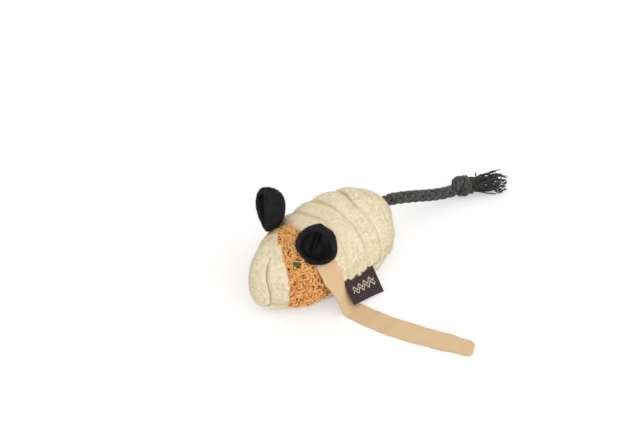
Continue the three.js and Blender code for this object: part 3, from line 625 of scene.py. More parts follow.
def bandY(k, u, s, depth):
    if k == 0:
        pole = body["noseY"] + depth
        return pole + (creaseY(0, s) - seam["gap"] - pole) * (1 - np.cos(u * math.pi / 2))
    if k == lastBand:
        pole, front = body["rumpY"] - depth, creaseY(k - 1, s) + seam["gap"]
        return front + (pole - front) * np.sin(u * math.pi / 2)
    return lerp(creaseY(k - 1, s) + seam["gap"], creaseY(k, s) - seam["gap"], u)


def reliefDepth(k, u, s, puff):
    # depth under the outline: crown in the middle, sunk at the creases and along the side seam
    below = np.abs(s) > 1
    capped = k in (0, lastBand)
    crown = np.where(below, puff["crown"], puff["faceCrown"] if k == 3 else puff["crown"])
    toSeam = np.where(below, np.abs(s - 2), np.abs(s))
    seamPull = 0 * s if capped else toSeam ** puff["seamPower"]
    share = np.where(u < 0.5, creases["depth"][max(k - 1, 0)], creases["depth"][min(k, 7)])
    if k > 3:  # the back's bands are fuller and their creases deeper on the right side
        share = share * lerp(puff["leftDepth"], puff["rightDepth"], smooth(-s, -0.3, 0.3))
        crown = np.where(below, crown,
                         lerp(crown, puff["rightCrown"], smooth(-s, -0.1, 0.3) * smooth(-s, 1, 0.7)))
    if k < 2:  # the nose crease is deep on the left cheek and fades over the crest
        fade = puff["noseFade"] + (1 - puff["noseFade"]) * smooth(s, -0.14, 0.06)
        share = np.where((u > 0.5) == (k == 0), share * fade, share)
    free = ((k == 0) & (u < 0.5)) | ((k == lastBand) & (u > 0.5)) | (below & (not capped))
    power = np.where(u < 0.5, puff["frontPower"], puff["rearPower"]) if k > 3 else puff["power"]
    creasePull = np.where(free, 0, np.abs(2 * u - 1) ** power * share)
    return lerp(crown, puff["creaseDepth"], 1 - (1 - creasePull) * (1 - seamPull))


def onColumn(y, s, depth, trim):
    away = smooth(np.abs(y - seam["highY"]), seam["levelReach"], seam["fullReach"])
    edge = np.radians(seam["sideAngle"] + seam["endDrop"] * away)
    ease = trim / np.maximum(halfWidthAt(y, depth), 1.5)
    over = s * (edge - ease)
    under = edge + ease + (s - 1) * (math.pi - edge - ease)
    return bodyPoint(y, np.where(np.abs(s) <= 1, over, under), depth)


def bodyNormal(y, angle):
    along = bodyPoint(y + 0.015, angle, 0.0) - bodyPoint(y - 0.015, angle, 0.0)
    about = bodyPoint(y, angle + 0.01, 0.0) - bodyPoint(y, angle - 0.01, 0.0)
    return unit(np.cross(about, along))


# rope tail: braided rope, its sewn-in root, the overhand knot and the frayed end

rope = dict(diameter=8.8, strandWidth=3.1, strandFlat=0.7, over=0.42, turnsPerMm=1 / 27, steps=0.5,
            sides=8, rootEnds=[[-0.2, 62.6, 27.8], [-2.1, 48.4, 27.8]],
            route=[[0, 64, 27.8], [1.2, 72.8, 24.9], [2.3, 81.5, 21.5], [3.4, 90, 17.9], [4.5, 99, 14.0],
                   [5.7, 108, 10.6], [6.7, 114.5, 8.9], [7.5, 119.6, 7.9]])
ropeNap = dict(density=1.3, length=0.75, width=0.2, sink=0.1, comb=(0, 0, 0), stray=0.9, toneSpread=0.3)


def braidShape(axis, diameter, strandWidth):
    # eight strands round the axis, four each way; each passes over and under as the cosine of
    # four times its own turn, and its section is flattened toward the axis
    line = axis[None]
    run, side = carried(line)
    other = np.cross(run, side)
    gone = np.concatenate([[0], np.cumsum(np.linalg.norm(np.diff(axis, axis=0), axis=1))])
    turn = 2 * math.pi * rope["turnsPerMm"] * rope["diameter"] / diameter * gone
    way = np.repeat([1, -1], 4)[:, None]
    angle = way * turn + np.tile(np.arange(4), 2)[:, None] * math.pi / 2
    thick = strandWidth * rope["strandFlat"]
    ring = diameter / 2 - thick / 2 - rope["over"]
    radial = np.cos(angle)[..., None] * side + np.sin(angle)[..., None] * other
    reach = ring + way * rope["over"] * np.cos(4 * turn)
    path = line + reach[..., None] * radial
    wobble = rng.normal(0, 0.05, path.shape)
    tone = rng.uniform(0.2, 0.7, 8)
    strands = tubeShape(path + wobble, strandWidth / 2, rope["sides"], radial, rope["strandFlat"], tone)
    core = tubeShape(line, ring, 10, tone=[0.1])
    return joined(strands, core)


tailAxis, tailLength = smoothRoute(rope["route"], rope["steps"])
ropeShape = braidShape(tailAxis, rope["diameter"], rope["strandWidth"])


def ropeHair(axis, diameter, share=1.0):
    # fibre ends standing off the rope, on a plain tube round its axis
    run, side = carried(axis[None])
    other = np.cross(run, side)
    turn = np.linspace(0, 2 * math.pi, 25)[:-1]
    way = np.cos(turn)[:, None] * side[0][:, None] + np.sin(turn)[:, None] * other[0][:, None]
    grid = axis[:, None] + (diameter / 2 - 0.35) * way
    return napShape(grid, way, dict(ropeNap, density=ropeNap["density"] * share), True)


ropePiece = makePiece("braidedTail", joined(ropeShape, ropeHair(tailAxis, rope["diameter"])),
                      charcoalYarn, "tail", "charcoal_rope", "tail_rope")
rootAxis = np.linspace(*rope["rootEnds"], 30)
rootShape = braidShape(rootAxis, rope["diameter"], rope["strandWidth"])
makePiece("tailRootBraid", rootShape, charcoalYarn, "mouse", "charcoal_rope", "tail_root")

knot = dict(centre=(8.698, 127.237, 8.6), ahead=1.5, thickness=7.4, strandWidth=2.6, reach=4.3,
            rearReach=0.86, tiltRise=1.2, spacing=6.2, lead=2.76, turns=2, firstTurn=0.7,
            ends=(0.1, 0.9))
knotRun = unit(tailAxis[-1] - tailAxis[-3])
knotSide = unit(np.cross(knotRun, [0, 0, 1.0]))
knotUp = np.cross(knotSide, knotRun)
along = np.linspace(0, 1, 150)
# two turns of rope about the tail's own line, the first leaning one way and the second the other
turn = along * knot["turns"] * 2 * math.pi + knot["firstTurn"]
opening, closing = smooth(along, 0, knot["ends"][0]), smooth(along, knot["ends"][1], 1)
swell = opening * (1 - closing)
forward = knot["ahead"] + lerp(-knot["spacing"], knot["spacing"], along)
forward = forward + knot["tiltRise"] * np.sin(turn) * np.cos(math.pi * along)
forward = forward + knot["lead"] * (smooth(along, 0, 0.12) - 1 + closing)
reach = knot["reach"] * lerp(1, knot["rearReach"], along) * swell
knotAxis = (np.array(knot["centre"]) + forward[:, None] * knotRun
            + (reach * np.cos(turn))[:, None] * knotSide
            + (reach * np.sin(turn))[:, None] * knotUp)
knotShape = braidShape(knotAxis, knot["thickness"], knot["strandWidth"])
knotPiece = makePiece("tailKnot", joined(knotShape, ropeHair(knotAxis, knot["thickness"], 0.8)),
                      charcoalYarn, "tail", "charcoal_rope", "tail_knot")

tassel = dict(heading=26, start=4.0, yarns=58, shortest=15, longest=25.5, spread=5.2, sag=2.6,
              seat=4.6, thickness=1.25, tip=0.8, wave=1.5, steps=26)
heading = math.radians(tassel["heading"])
tasselRun = np.array([math.sin(heading), math.cos(heading), 0])
tasselSide = np.cross(tasselRun, [0, 0, 1.0])
count = tassel["yarns"]
t = np.linspace(0, 1, tassel["steps"])
spin = np.arange(count) * math.pi * (3 - math.sqrt(5))
ringShare = np.sqrt((np.arange(count) + 0.5) / count)
longs = rng.uniform(tassel["shortest"], tassel["longest"], count)
wave = tassel["wave"] * t[None, :, None] ** 0.6 * np.sin(
    rng.uniform(8, 18, (count, 1, 2)) * t[None, :, None] + rng.uniform(0, 6.3, (count, 1, 2)))
spread = tassel["spread"] * ringShare * rng.uniform(0.6, 1, count)
off = tassel["seat"] * ringShare[:, None] + spread[:, None] * t ** 1.4
onward = tassel["start"] + (longs[:, None] + 4) * t
aside = off * np.cos(spin)[:, None] + wave[..., 0]
rise = off * np.sin(spin)[:, None] - tassel["sag"] * t + wave[..., 1]
yarnPath = (np.array(knot["centre"]) + tasselRun * onward[..., None] + tasselSide * aside[..., None]
            + np.array([0, 0, 1.0]) * rise[..., None])
yarnPath[..., 2] = np.maximum(yarnPath[..., 2], 0.7)
yarnRadius = lerp(tassel["thickness"], tassel["tip"], t)[None] / 2 * rng.uniform(0.8, 1.15, (count, 1))
# short ends stand off the knot, each on a straight run with a small kink
sprigs = dict(roots=[[7.6, 8.0, 2.6], [6.2, 8.6, 3.2], [8.8, 8.4, 1.4], [2.8, 10.4, 3.0]],
              runs=[[-1.2, 0.8, 3.4], [1.0, 1.6, 3.4], [1.6, 2.2, 2.8], [-2.0, 2.4, 2.2]],
              kink=[0.42, 0.24, 0.06], radius=0.5)
t = np.linspace(0, 1, 12)[:, None]
roots, runs = (np.array(sprigs[key])[:, None] for key in ("roots", "runs"))
shortPath = np.array(knot["centre"]) + roots + t * runs + np.sin(6 * t) * np.array(sprigs["kink"])
tasselShape = joined(tubeShape(yarnPath, yarnRadius, 5, tone=rng.uniform(0.0, 0.4, count)),
                     tubeShape(shortPath, sprigs["radius"], 5, tone=rng.uniform(0.1, 0.4, len(shortPath))))
tasselPiece = makePiece("tailTassel", tasselShape, charcoalYarn, "tail", "charcoal_rope", "tail_tassel")
print("tail made")


# plush wraps and base panel

puff = dict(crown=0.85, faceCrown=2.5, creaseDepth=2.7, power=3.6, frontPower=6.0, rearPower=2.4,
            noseFade=0.2, leftDepth=0.58, rightDepth=1.45, rightCrown=0.2, seamPower=9, thickness=1.8,
            lump=0.4, lumpSize=17, dimple=0.07, dimpleSize=5.5, tuck=0.1, tuckSize=3.4)
brow = dict(y=6.0, z=17.5, fromX=(24, 29), reachY=(15, 11), high=2.6, rise=0.9, rag=1.0, ragSize=4.2)
lip = dict(centre=(0, 27.8), rise=0.9, radius=6.4, width=2.3, dimple=3.2, dimpleEdge=(3.2, 5.2),
           back=(40, 50), drawn=2.2, drawnFrom=(36, 58))
plushNap = dict(density=3.0, length=1.25, width=0.27, sink=0.12, comb=(0.0, 0.25, -0.3), stray=0.65,
                toneSpread=0.07)
looseHair = dict(density=0.16, length=2.2, width=0.2, sink=0.1, comb=(0.0, 0.2, -0.2), stray=1.0,
                 toneSpread=0.1)
wrapNames = ["snout_wrap_front", "snout_wrap_mid", "snout_wrap_rear", "face_patch",
             "back_wrap_1", "back_wrap_2", "back_wrap_3", "back_wrap_4", "back_wrap_5"]


def bandRows(k, spacing=0.55):
    # stations across a band, closer together at its creases
    if k in (0, lastBand):
        return np.linspace(0, 1, 34 if k == 0 else 44)
    low, high = (abs(creaseY(k, s) - creaseY(k - 1, s)) for s in (1.0, 0.0))
    even = np.linspace(0, 1, int(max(low, high) / spacing) + 8)
    return lerp(even, (1 - np.cos(even * math.pi)) / 2, 0.5)


def rumpDrawn(y):
    # the rump is drawn in a little toward the rope
    return y - lip["drawn"] * smooth(y, *lip["drawnFrom"])


def bandGrid(k, u, s, extra, trim, relief=puff):
    # the band's surface sunk by extra, with slow lumps, small dimples, and tucks along its creases
    u, s = np.meshgrid(u, s, indexing="ij")
    depth = reliefDepth(k, u, s, relief) + extra
    base = onColumn(bandY(k, u, s, depth), s, depth, trim)
    rough = puff["lump"] * softNoise(base, puff["lumpSize"], 3)
    rough = rough + puff["dimple"] * softNoise(base, puff["dimpleSize"], 4)
    toCrease = np.abs(2 * u - 1) ** 3 if 0 < k < lastBand else (u if k == 0 else 1 - u) ** 6
    rough = rough + puff["tuck"] * toCrease * softNoise(base, puff["tuckSize"], 5 + k)
    keep = smooth(base[..., 2], 0.5, 6)
    if k in (0, lastBand):
        keep = keep * (smooth(u, 0, 0.15) if k == 0 else smooth(1 - u, 0, 0.15))
    x, y, z = np.moveaxis(base, -1, 0)  # the plush bulges over the label's top with a ragged edge
    overLabel = smooth(x, *brow["fromX"]) * np.exp(-((z - brow["z"]) / brow["high"]) ** 2)
    overLabel = overLabel * smooth(np.abs(y - brow["y"]), *brow["reachY"])
    rough = rough + overLabel * (brow["rise"] + brow["rag"] * softNoise(base, brow["ragSize"], 9))
    depth = depth - rough * keep * (1 if extra == 0 else 0.5)
    grid = onColumn(bandY(k, u, s, depth), s, depth, trim)
    if k == lastBand:  # a low lip round the rope, with a dimple that the rope sits in
        away = np.linalg.norm(grid[..., [0, 2]] - np.array(lip["centre"]), axis=-1)
        ring = lip["rise"] * np.exp(-((away - lip["radius"]) / lip["width"]) ** 2)
        dimple = lip["dimple"] * (1 - smooth(away, *lip["dimpleEdge"]))
        y = grid[..., 1]
        grid[..., 1] = rumpDrawn(y + smooth(y, *lip["back"]) * (ring - dimple))
    return grid


columns = np.linspace(-1, 1, 170)
ringColumns = np.linspace(-1, 3, 240, endpoint=False)
for k, node in enumerate(wrapNames):
    if k == 3:
        continue
    closed = k in (0, lastBand)
    u, s, trim = bandRows(k), ringColumns if closed else columns, 0 if closed else 0.15
    outer, inner = (bandGrid(k, u, s, extra, trim) for extra in (0, puff["thickness"]))
    shell = shellShape(outer, inner, closed, k == 0, k == lastBand)
    normals = gridNormals(outer, inner, closed)
    upper = smooth(outer[..., 2], 0.2, 1.2)  # no nap where it lies on the floor
    naps = [napShape(outer, normals, nap, closed, upper) for nap in (plushNap, looseHair)]
    piece = makePiece("plush_" + node, joined(shell, *naps), creamPlush, "mouse", "cream_plush", node)

panel = dict(rows=150, columns=120, trim=0.15, edgeDepth=3.0, lump=0.3, lumpSize=15, density=2.4)
v, s = np.meshgrid(np.linspace(0, 1, panel["rows"]), np.linspace(1 + 1e-6, 3, panel["columns"]),
                   indexing="ij")


def panelGrid(extra):
    depth = lerp(puff["crown"], panel["edgeDepth"], np.abs(s - 2) ** 10) + extra
    y = lerp(creaseY(0, 1.0) + panel["trim"], creaseY(7, 1.0) - panel["trim"], v)
    grid = onColumn(y, s, depth, panel["trim"])
    lump = panel["lump"] * softNoise(grid, panel["lumpSize"], 21) * smooth(grid[..., 2], 1, 6)
    return onColumn(y, s, depth - lump * (extra == 0), panel["trim"])


outer, inner = panelGrid(0), panelGrid(puff["thickness"])
normals = gridNormals(outer, inner)
panelNap = dict(plushNap, density=panel["density"], comb=(0, 0.5, 0))
nap = napShape(outer, normals, panelNap, False, smooth(outer[..., 2], 0.8, 2.5) + 0.02)
basePiece = makePiece("plush_base_panel", joined(shellShape(outer, inner), nap), creamPlush, "mouse",
                      "cream_plush", "base_panel")
print("plush body made")


# shaggy face: knitted ground with short curled yarns sewn through it

eye = dict(leftY=-34.2, rightY=-31, leftAngle=38, rightAngle=64, depth=2.2, lift=0.9, across=4.2,
           high=1.5, stitches=13, thread=0.5, steps=9, bed=[0.9, 1.4, 1.6, 1.7, 1.6, 1.4, 0.9],
           bedReach=1.6, bedRise=0.35, looseEnd=(1.4, 0.4, 2.6))
face = dict(density=0.8, rise=(0.7, 3.1), length=(4.0, 7.0), curl=2.2, wiggle=0.4, thickness=1.05,
            steps=9, sides=5, shortLength=0.55, clearOfEye=2.2, underEar=(18, -21, 42), earReach=7.5,
            toneStart=-0.3, paintedRiseLight=0.42, paintedTopLight=0.3, paintedTopLightZ=(28, 44), toneSpread=0.14,
            bareY=(-27, -20), bareZ=(22, 13))
u, s = np.linspace(0, 1, 70), np.linspace(-1, 1, 200)
groundRelief = dict(puff, power=4.5, creaseDepth=3.2)
outer, inner = (bandGrid(3, u, s, extra, 0.15, groundRelief) for extra in (0, 1.5))
normals = gridNormals(outer, inner)
edgeShare = np.broadcast_to(smooth(np.abs(2 * u - 1), 1.0, 0.9)[:, None], outer.shape[:2])
groundMarks = np.stack(np.meshgrid(u * 27, s * 48, indexing="ij"), -1)
ground = shellShape(outer, inner, pattern=groundMarks, tone=0.3)
root, normal, _ = scatter(outer, normals, face["density"], share=0.5 + 0.5 * edgeShare)
eyes = {word: bodyPoint(eye[word + "Y"], sign * math.radians(eye[word + "Angle"]), eye["depth"])
        for sign, word in bothSides}
toEyes = np.min([np.linalg.norm(root - spot, axis=-1) for spot in eyes.values()], axis=0)
clear = toEyes > face["clearOfEye"]
# no yarns under the cups of the ears
for sign in (1, -1):
    underEar = np.array(face["underEar"]) * [sign, 1, 1]
    clear &= np.linalg.norm(root - underEar, axis=-1) > face["earReach"]
root, normal = root[clear], normal[clear]
total = len(root)
# bare corner behind the cheek, where the ground shows between shorter yarns and the yarns are painted
# darker as the tape's shadow
bare = smooth(root[:, 1], *face["bareY"]) * smooth(root[:, 2], *face["bareZ"]) * (root[:, 0] > 0)
shrink = lerp(1, face["shortLength"], bare)
side = unit(np.cross(normal, rng.normal(size=(total, 3))))
other = np.cross(normal, side)
t = np.linspace(0, 1, face["steps"])[None]
# each yarn comes up out of the ground, runs along it in a curl with a wiggle, and dips again; its
# heading is the running sum of the curl, and its place the running sum of the heading
long = (rng.uniform(*face["length"], total) * shrink)[:, None]
heading = rng.uniform(-1, 1, (total, 1)) * face["curl"] * (t - 0.5)
heading = heading + face["wiggle"] * np.sin(t * 9 + rng.uniform(0, 6.3, (total, 1)))
ahead = np.cumsum(np.cos(heading), 1) * long / face["steps"]
aside = np.cumsum(np.sin(heading), 1) * long / face["steps"]
peak = (rng.uniform(*face["rise"], total) * shrink)[:, None]
rise = peak * np.sin(math.pi * np.clip(t, 0, 1) ** 0.75) ** 0.6
rise = rise + 0.25 * np.sin(t * 12 + rng.uniform(0, 6.3, (total, 1)))
ahead = ahead - ahead[:, -1:] / 2
aside = aside - aside[:, -1:] / 2
path = (root[:, None] + (rise - 0.2)[..., None] * normal[:, None] + ahead[..., None] * side[:, None]
        + aside[..., None] * other[:, None])
path[..., 2] = np.maximum(path[..., 2], 0.5)
# painted light and shade: each yarn is painted darker low among the others and lighter where it stands up,
# and painted lighter toward the top of the head where more light falls; each yarn's tone also differs at
# random
yarnTone = face["paintedRiseLight"] * rise + face["toneStart"]
yarnTone = yarnTone + face["paintedTopLight"] * smooth(root[:, 2:], *face["paintedTopLightZ"])
# the bare corner's yarns are painted darker, as painted shadow under the tape's edge
yarnTone = np.clip(yarnTone + rng.normal(0, face["toneSpread"], (total, 1)) - 0.1 * bare[:, None], 0, 1)
radius = face["thickness"] / 2 * rng.uniform(0.8, 1.15, (total, 1)) + 0 * t
curls = tubeShape(path, radius, face["sides"], tone=yarnTone)
facePiece = makePiece("shaggyFace", curls, apricotYarn, "mouse", "apricot_plush", "face_patch")
# the ground's dark colours are painted shade between the yarns
groundPiece = makePiece("faceGround", ground, shadedApricotGround, "mouse", "apricot_plush")
print("face made with", total, "yarns")


# stitched eyes: satin stitches side by side over a low dome

for sign, word in bothSides:
    angle = sign * math.radians(eye[word + "Angle"])
    normal = bodyNormal(eye[word + "Y"], angle)
    centre = eyes[word] + normal * eye["lift"]
    across = unit(np.cross(normal, [0, 1.0, 0.35]))
    onward = np.cross(across, normal)
    place = np.linspace(-0.93, 0.93, eye["stitches"])[:, None]
    t = np.linspace(-1, 1, eye["steps"])[None]
    half = np.sqrt(1 - place ** 2) * rng.uniform(0.9, 1.12, (eye["stitches"], 1))
    x = eye["across"] / 2 * half * t
    y = eye["across"] / 2 * place + rng.normal(0, 0.06, (eye["stitches"], 1)) + 0.18 * t
    dome = np.sqrt(np.clip(1 - 0.8 * (x ** 2 + y ** 2) / (eye["across"] / 2) ** 2, 0, 1))
    z = eye["high"] * dome + rng.uniform(0, 0.12, (eye["stitches"], 1))
    path = centre + x[..., None] * across + y[..., None] * onward + z[..., None] * normal
    bedLine = centre + np.linspace(-1, 1, 7)[:, None] * eye["bedReach"] * across + eye["bedRise"] * normal
    bed = tubeShape(bedLine[None], [eye["bed"]], 10, np.broadcast_to(normal, (1, 7, 3)), 0.75, 0.0)
    # one loose thread end, curled
    off, aside, ahead = eye["looseEnd"]
    end = centre + normal * off + across * aside + onward * ahead
    curl = np.linspace(0, 5, 10)
    curls = np.stack([0.5 * np.sin(curl), 0.24 * curl, 0.7 * np.cos(curl)], -1)
    tail = end + curls @ np.stack([across, onward, normal])
    shape = joined(tubeShape(path, eye["thread"] / 2, 6, tone=rng.uniform(0.2, 0.75, eye["stitches"])), bed,
                   tubeShape(tail[None], 0.3, 5, tone=0.0))
    makePiece("stitchedEye_" + word, shape, greenThread, "mouse", "green_thread", "eye_" + word)
print("eyes made")


# ears: a cupped lining and a back whose edge rolls over the lining

ear = dict(height=23.4, width=21.2, cup=9.8, layer=1.2, gap=0.3, footWidth=0.88, footDepth=0.95,
           broadest=0.5, deepest=0.6, bowlPower=2.4, fold=2.4, foldAt=-2.0, foldWidth=1.8, lipBow=2.2,
           roll=1.15, thinSide=0.5, lump=0.5)
earSeats = dict(left=dict(foot=(20.8, -26.2, 42.5), facing=31, leanBack=14, leanOut=6, deep=0.8),
                right=dict(foot=(-23.4, -27.8, 42.9), facing=23, leanBack=15, leanOut=20, deep=1.0))
earNap = dict(density=6.0, length=0.95, width=0.27, sink=0.12, comb=(0, 0, 0), stray=0.6, toneSpread=0.16)


def earPoint(r, turn, offset, deep):
    # rings of a cup: an oval that narrows to the foot, and a bowl whose ring share and depth share
    # lie on a superellipse; a fold runs up its middle, and the sides of the lip bow forward
    rise = (1 + r * np.sin(turn)) / 2
    half = ear["width"] / 2 * lerp(ear["footWidth"], 1, smooth(rise, 0, ear["broadest"]))
    cup = deep * ear["cup"] * lerp(ear["footDepth"], 1, smooth(rise, 0, ear["deepest"]))
    level = ear["height"] / 2
    depth = (1 - np.minimum(r, 1) ** ear["bowlPower"]) ** (1 / ear["bowlPower"])
    across = half * r * np.cos(turn)
    fold = ear["fold"] * np.exp(-((across - ear["foldAt"]) / ear["foldWidth"]) ** 2)
    bow = ear["lipBow"] * r ** 4 * np.cos(turn) ** 2
    return np.stack([across + offset * r * np.cos(turn), level + (level + offset) * r * np.sin(turn),
                     bow - (cup + fold + offset) * depth], -1)


for sign, word in bothSides:
    seat = earSeats[word]
    facing, leanBack, leanOut = (math.radians(seat[key]) for key in ("facing", "leanBack", "leanOut"))
    outward = np.array([sign * math.sin(facing), -math.cos(facing), 0])
    up = unit(np.array([sign * math.tan(leanOut), math.tan(leanBack), 1]))
    forward = unit(outward - up * (outward @ up))
    earAxes = np.stack([np.cross(up, forward), up, forward])
    foot = np.array(seat["foot"])
    rings = np.sin(np.linspace(0, math.pi / 2, 46)) ** (2 / ear["bowlPower"])
    r, turn = np.meshgrid(rings, np.linspace(0, 2 * math.pi, 130)[:-1], indexing="ij")
    wobble = ear["lump"] * softNoise(earPoint(r, turn, 0, 1), 9, 31 + sign) * smooth(r, 0, 0.2)
    liningFront, liningBack = (earPoint(r, turn, offset, seat["deep"])
                               for offset in (wobble, ear["layer"] + 0 * r))
    backOffset = ear["layer"] * 2 + ear["gap"]
    # the roll: a half circle about the rim's middle line, from the back face over to the hollow
    psi, rollTurn = np.meshgrid(np.linspace(0, math.pi * 1.05, 14)[1:], turn[0], indexing="ij")
    middle = earPoint(np.ones_like(psi), rollTurn, backOffset / 2 + wobble[-1] * 0.5, seat["deep"])
    radial = np.stack([np.cos(rollTurn), np.sin(rollTurn), 0 * psi], -1)
    curl = radial * np.cos(psi)[..., None] + np.array([0, 0, 1.0]) * np.sin(psi)[..., None]
    # the roll is thinner at the foot and on the ear's first side
    atFoot = np.maximum(smooth(-radial[..., 1:2], 0.9, 0.99), ear["thinSide"] * (1 - radial[..., :1]))
    roll = middle + ear["roll"] * (1 - 0.5 * atFoot) * curl
    backOuter = np.concatenate([earPoint(r, turn, backOffset + wobble * 0.6, seat["deep"]), roll])
    backInner = earPoint(r, turn, ear["layer"] + ear["gap"] + 0 * r, seat["deep"])
    backInner = np.concatenate([backInner, middle + 0.3 * curl])
    for prefix, node, outer, inner in (("earLining_", "lining", liningFront, liningBack),
                                      ("earBack_", "back", backOuter, backInner)):
        outer, inner = foot + outer @ earAxes, foot + inner @ earAxes
        shell = shellShape(outer, inner, True, True, False)
        if node == "back":
            shell = joined(shell, napShape(outer, gridNormals(outer, inner, True), earNap, True))
        # the lining's darker colours are painted shade inside the cup
        cloth = blackPlush if node == "back" else shadedBlackLining
        piece = makePiece(prefix + word, shell, cloth, "ear_" + word, "black_plush", f"ear_{word}_{node}")
print("ears made")


# loose tape, sewn in under the left ear

tape = dict(width=16.0, rootWidth=13.5, bendWidth=14.0, endWidth=13.5, thickness=0.9, rootY=-18.0,
            rootAngle=56, hip=[33.4, -13.1, 16], foot=[40.4, -9.5], footRise=0.6, middle=[80, 3.6],
            end=[121.6, 25.4], levelShare=0.31, broadFrom=0.28, broad=0.5, narrow=0.8, edgeWave=0.28,
            ripple=0.22, columns=29, spacing=0.5, cornerAt=0.955, cornerWide=0.55,
            cornerPull=(1.0, 2.4), slantAt=0.9, slant=0.6)
rootAngle = math.radians(tape["rootAngle"])
tapeNormal = bodyNormal(tape["rootY"], rootAngle)
tapeRoot = bodyPoint(tape["rootY"], rootAngle, 0.0) + tapeNormal * tape["thickness"]
groundZ = tape["thickness"] / 2
tapeFoot, tapeMiddle, tapeEnd = (np.array([*tape[key], groundZ]) for key in ("foot", "middle", "end"))
bow = (tapeFoot + tapeMiddle) / 2 - np.array([0, tape["thickness"], 0])
tuck = [bodyPoint(tape["rootY"] + 0.6 * n, rootAngle - math.radians(8 * n), 0.6 * n) for n in (2, 1)]
stops = [*tuck, tapeRoot, tape["hip"], tapeFoot + [0, 0, tape["footRise"]], bow, tapeMiddle, tapeEnd]
tapeLine, tapeLength = smoothRoute(stops, tape["spacing"])
share = np.linspace(0, 1, len(tapeLine))
run = unit(np.gradient(tapeLine, axis=0))
tapeFace = lerp(tapeNormal, np.array([0, 0, 1.0]), smooth(share, 0, tape["levelShare"])[:, None])
across = unit(np.cross(tapeFace, run))
out = np.cross(run, across)
half = lerp(tape["rootWidth"], tape["bendWidth"], smooth(share, 0.02, 0.15))
half = lerp(half, tape["width"], smooth(share, tape["broadFrom"], tape["broad"]))
half = lerp(half, tape["endWidth"], smooth(share, tape["narrow"], 1)) / 2
offset = np.linspace(-1, 1, tape["columns"])
# the two edges waver a little on their own, and the cut end slants with one rounded corner
edges = np.stack([tape["edgeWave"] * softNoise(tapeLine, 11, seed) for seed in (41, 42)], 0)
reach = half[:, None] * offset + np.where(offset < 0, edges[0][:, None], edges[1][:, None]) * np.abs(offset)
corner = smooth(share, tape["cornerAt"], 1)[:, None] * smooth(np.abs(offset), tape["cornerWide"], 1.0)
slant = tape["slant"] * smooth(share, tape["slantAt"], 1)[:, None] * (offset + 1)
pull = -corner * np.where(offset < 0, *tape["cornerPull"]) - slant
surface = tapeLine[:, None] + reach[..., None] * across[:, None] + pull[..., None] * run[:, None]
lift = tape["ripple"] * (1 + softNoise(surface, 13, 44)) * smooth(share, 0.2, 0.4)[:, None]
faces = [surface + (sign * tape["thickness"] / 2 + lift)[..., None] * out[:, None] for sign in (1, -1)]
faces[0][..., 2] = np.maximum(faces[0][..., 2], tape["thickness"])
faces[1][..., 2] = np.maximum(faces[1][..., 2], 0.0)
tapeMarks = np.stack([reach, np.broadcast_to((share * tapeLength)[:, None], reach.shape)], -1)
tapeShape = shellShape(faces[0], faces[1], pattern=tapeMarks)
tapePiece = makePiece("looseTape", tapeShape, tanTape, "tape", "tan_tape", "loose_tape")
print("tape made, length", round(tapeLength, 1))


# folded side label

label = dict(width=25.0, drop=18.0, layer=0.5, gap=0.3, frontY=-7.0, hingeX=31.4, hingeZ=17.0,
             slope=55, wave=0.35, curl=0.8, highShares=(-0.04, -0.17), lowShares=(0.93, 1.1), rows=90,
             columns=70, bendShare=0.06)
slope = math.radians(label["slope"])
down = np.array([math.cos(slope), 0, -math.sin(slope)])
outward = np.array([math.sin(slope), 0, math.cos(slope)])
# the strip runs down the outer face, round the fold and up the inner face; a is down, b is off the middle
half = label["gap"] / 2
straight = label["drop"] - half - label["layer"]
t = np.linspace(-1, 1, label["rows"])
bendShare = label["bendShare"]
bend = t / bendShare * math.pi / 2
inBend = np.abs(t) < bendShare
offA = np.where(inBend, np.cos(bend), 0)
offB = -np.where(inBend, np.sin(bend), np.sign(t))
a = np.where(inBend, straight + half * np.cos(bend),
             straight * (1 - (np.abs(t) - bendShare) / (1 - bendShare)))
b = half * offB
y = np.linspace(label["frontY"], label["frontY"] + label["width"], label["columns"])


def labelGrid(extra):
    aa, bb = (a + offA * extra)[:, None], (b + offB * extra)[:, None]
    # its top slants up into the seam and its fold slants down, from the front edge to the rear one
    along = (y - label["frontY"]) / label["width"]
    high, low = (lerp(*label[key], along) * label["drop"] for key in ("highShares", "lowShares"))
    aa = high + aa / label["drop"] * (low - high)
    hang = aa / label["drop"]
    sway = label["wave"] * np.sin(along * 2 * math.pi + 0.6) * np.maximum(hang, 0) ** 1.5
    sway = sway + label["curl"] * (along - 0.5) ** 2 * 2 * hang
    origin = np.array([label["hingeX"], 0, label["hingeZ"]])
    spread = origin + aa[..., None] * down + (bb + sway)[..., None] * outward
    return spread + np.array([0, 1.0, 0]) * y[None, :, None]


strip = (t * (label["drop"] + 1))[:, None]
labelMarks = np.stack(np.broadcast_arrays((y - label["frontY"])[None], strip), -1)
labelShape = shellShape(labelGrid(label["layer"]), labelGrid(0), pattern=labelMarks)
labelPiece = makePiece("foldedLabel", labelShape, labelSatin, "label", "brown_label", "side_label")
print("label made")


# inside: fibre filling, the muslin pouch and its catnip

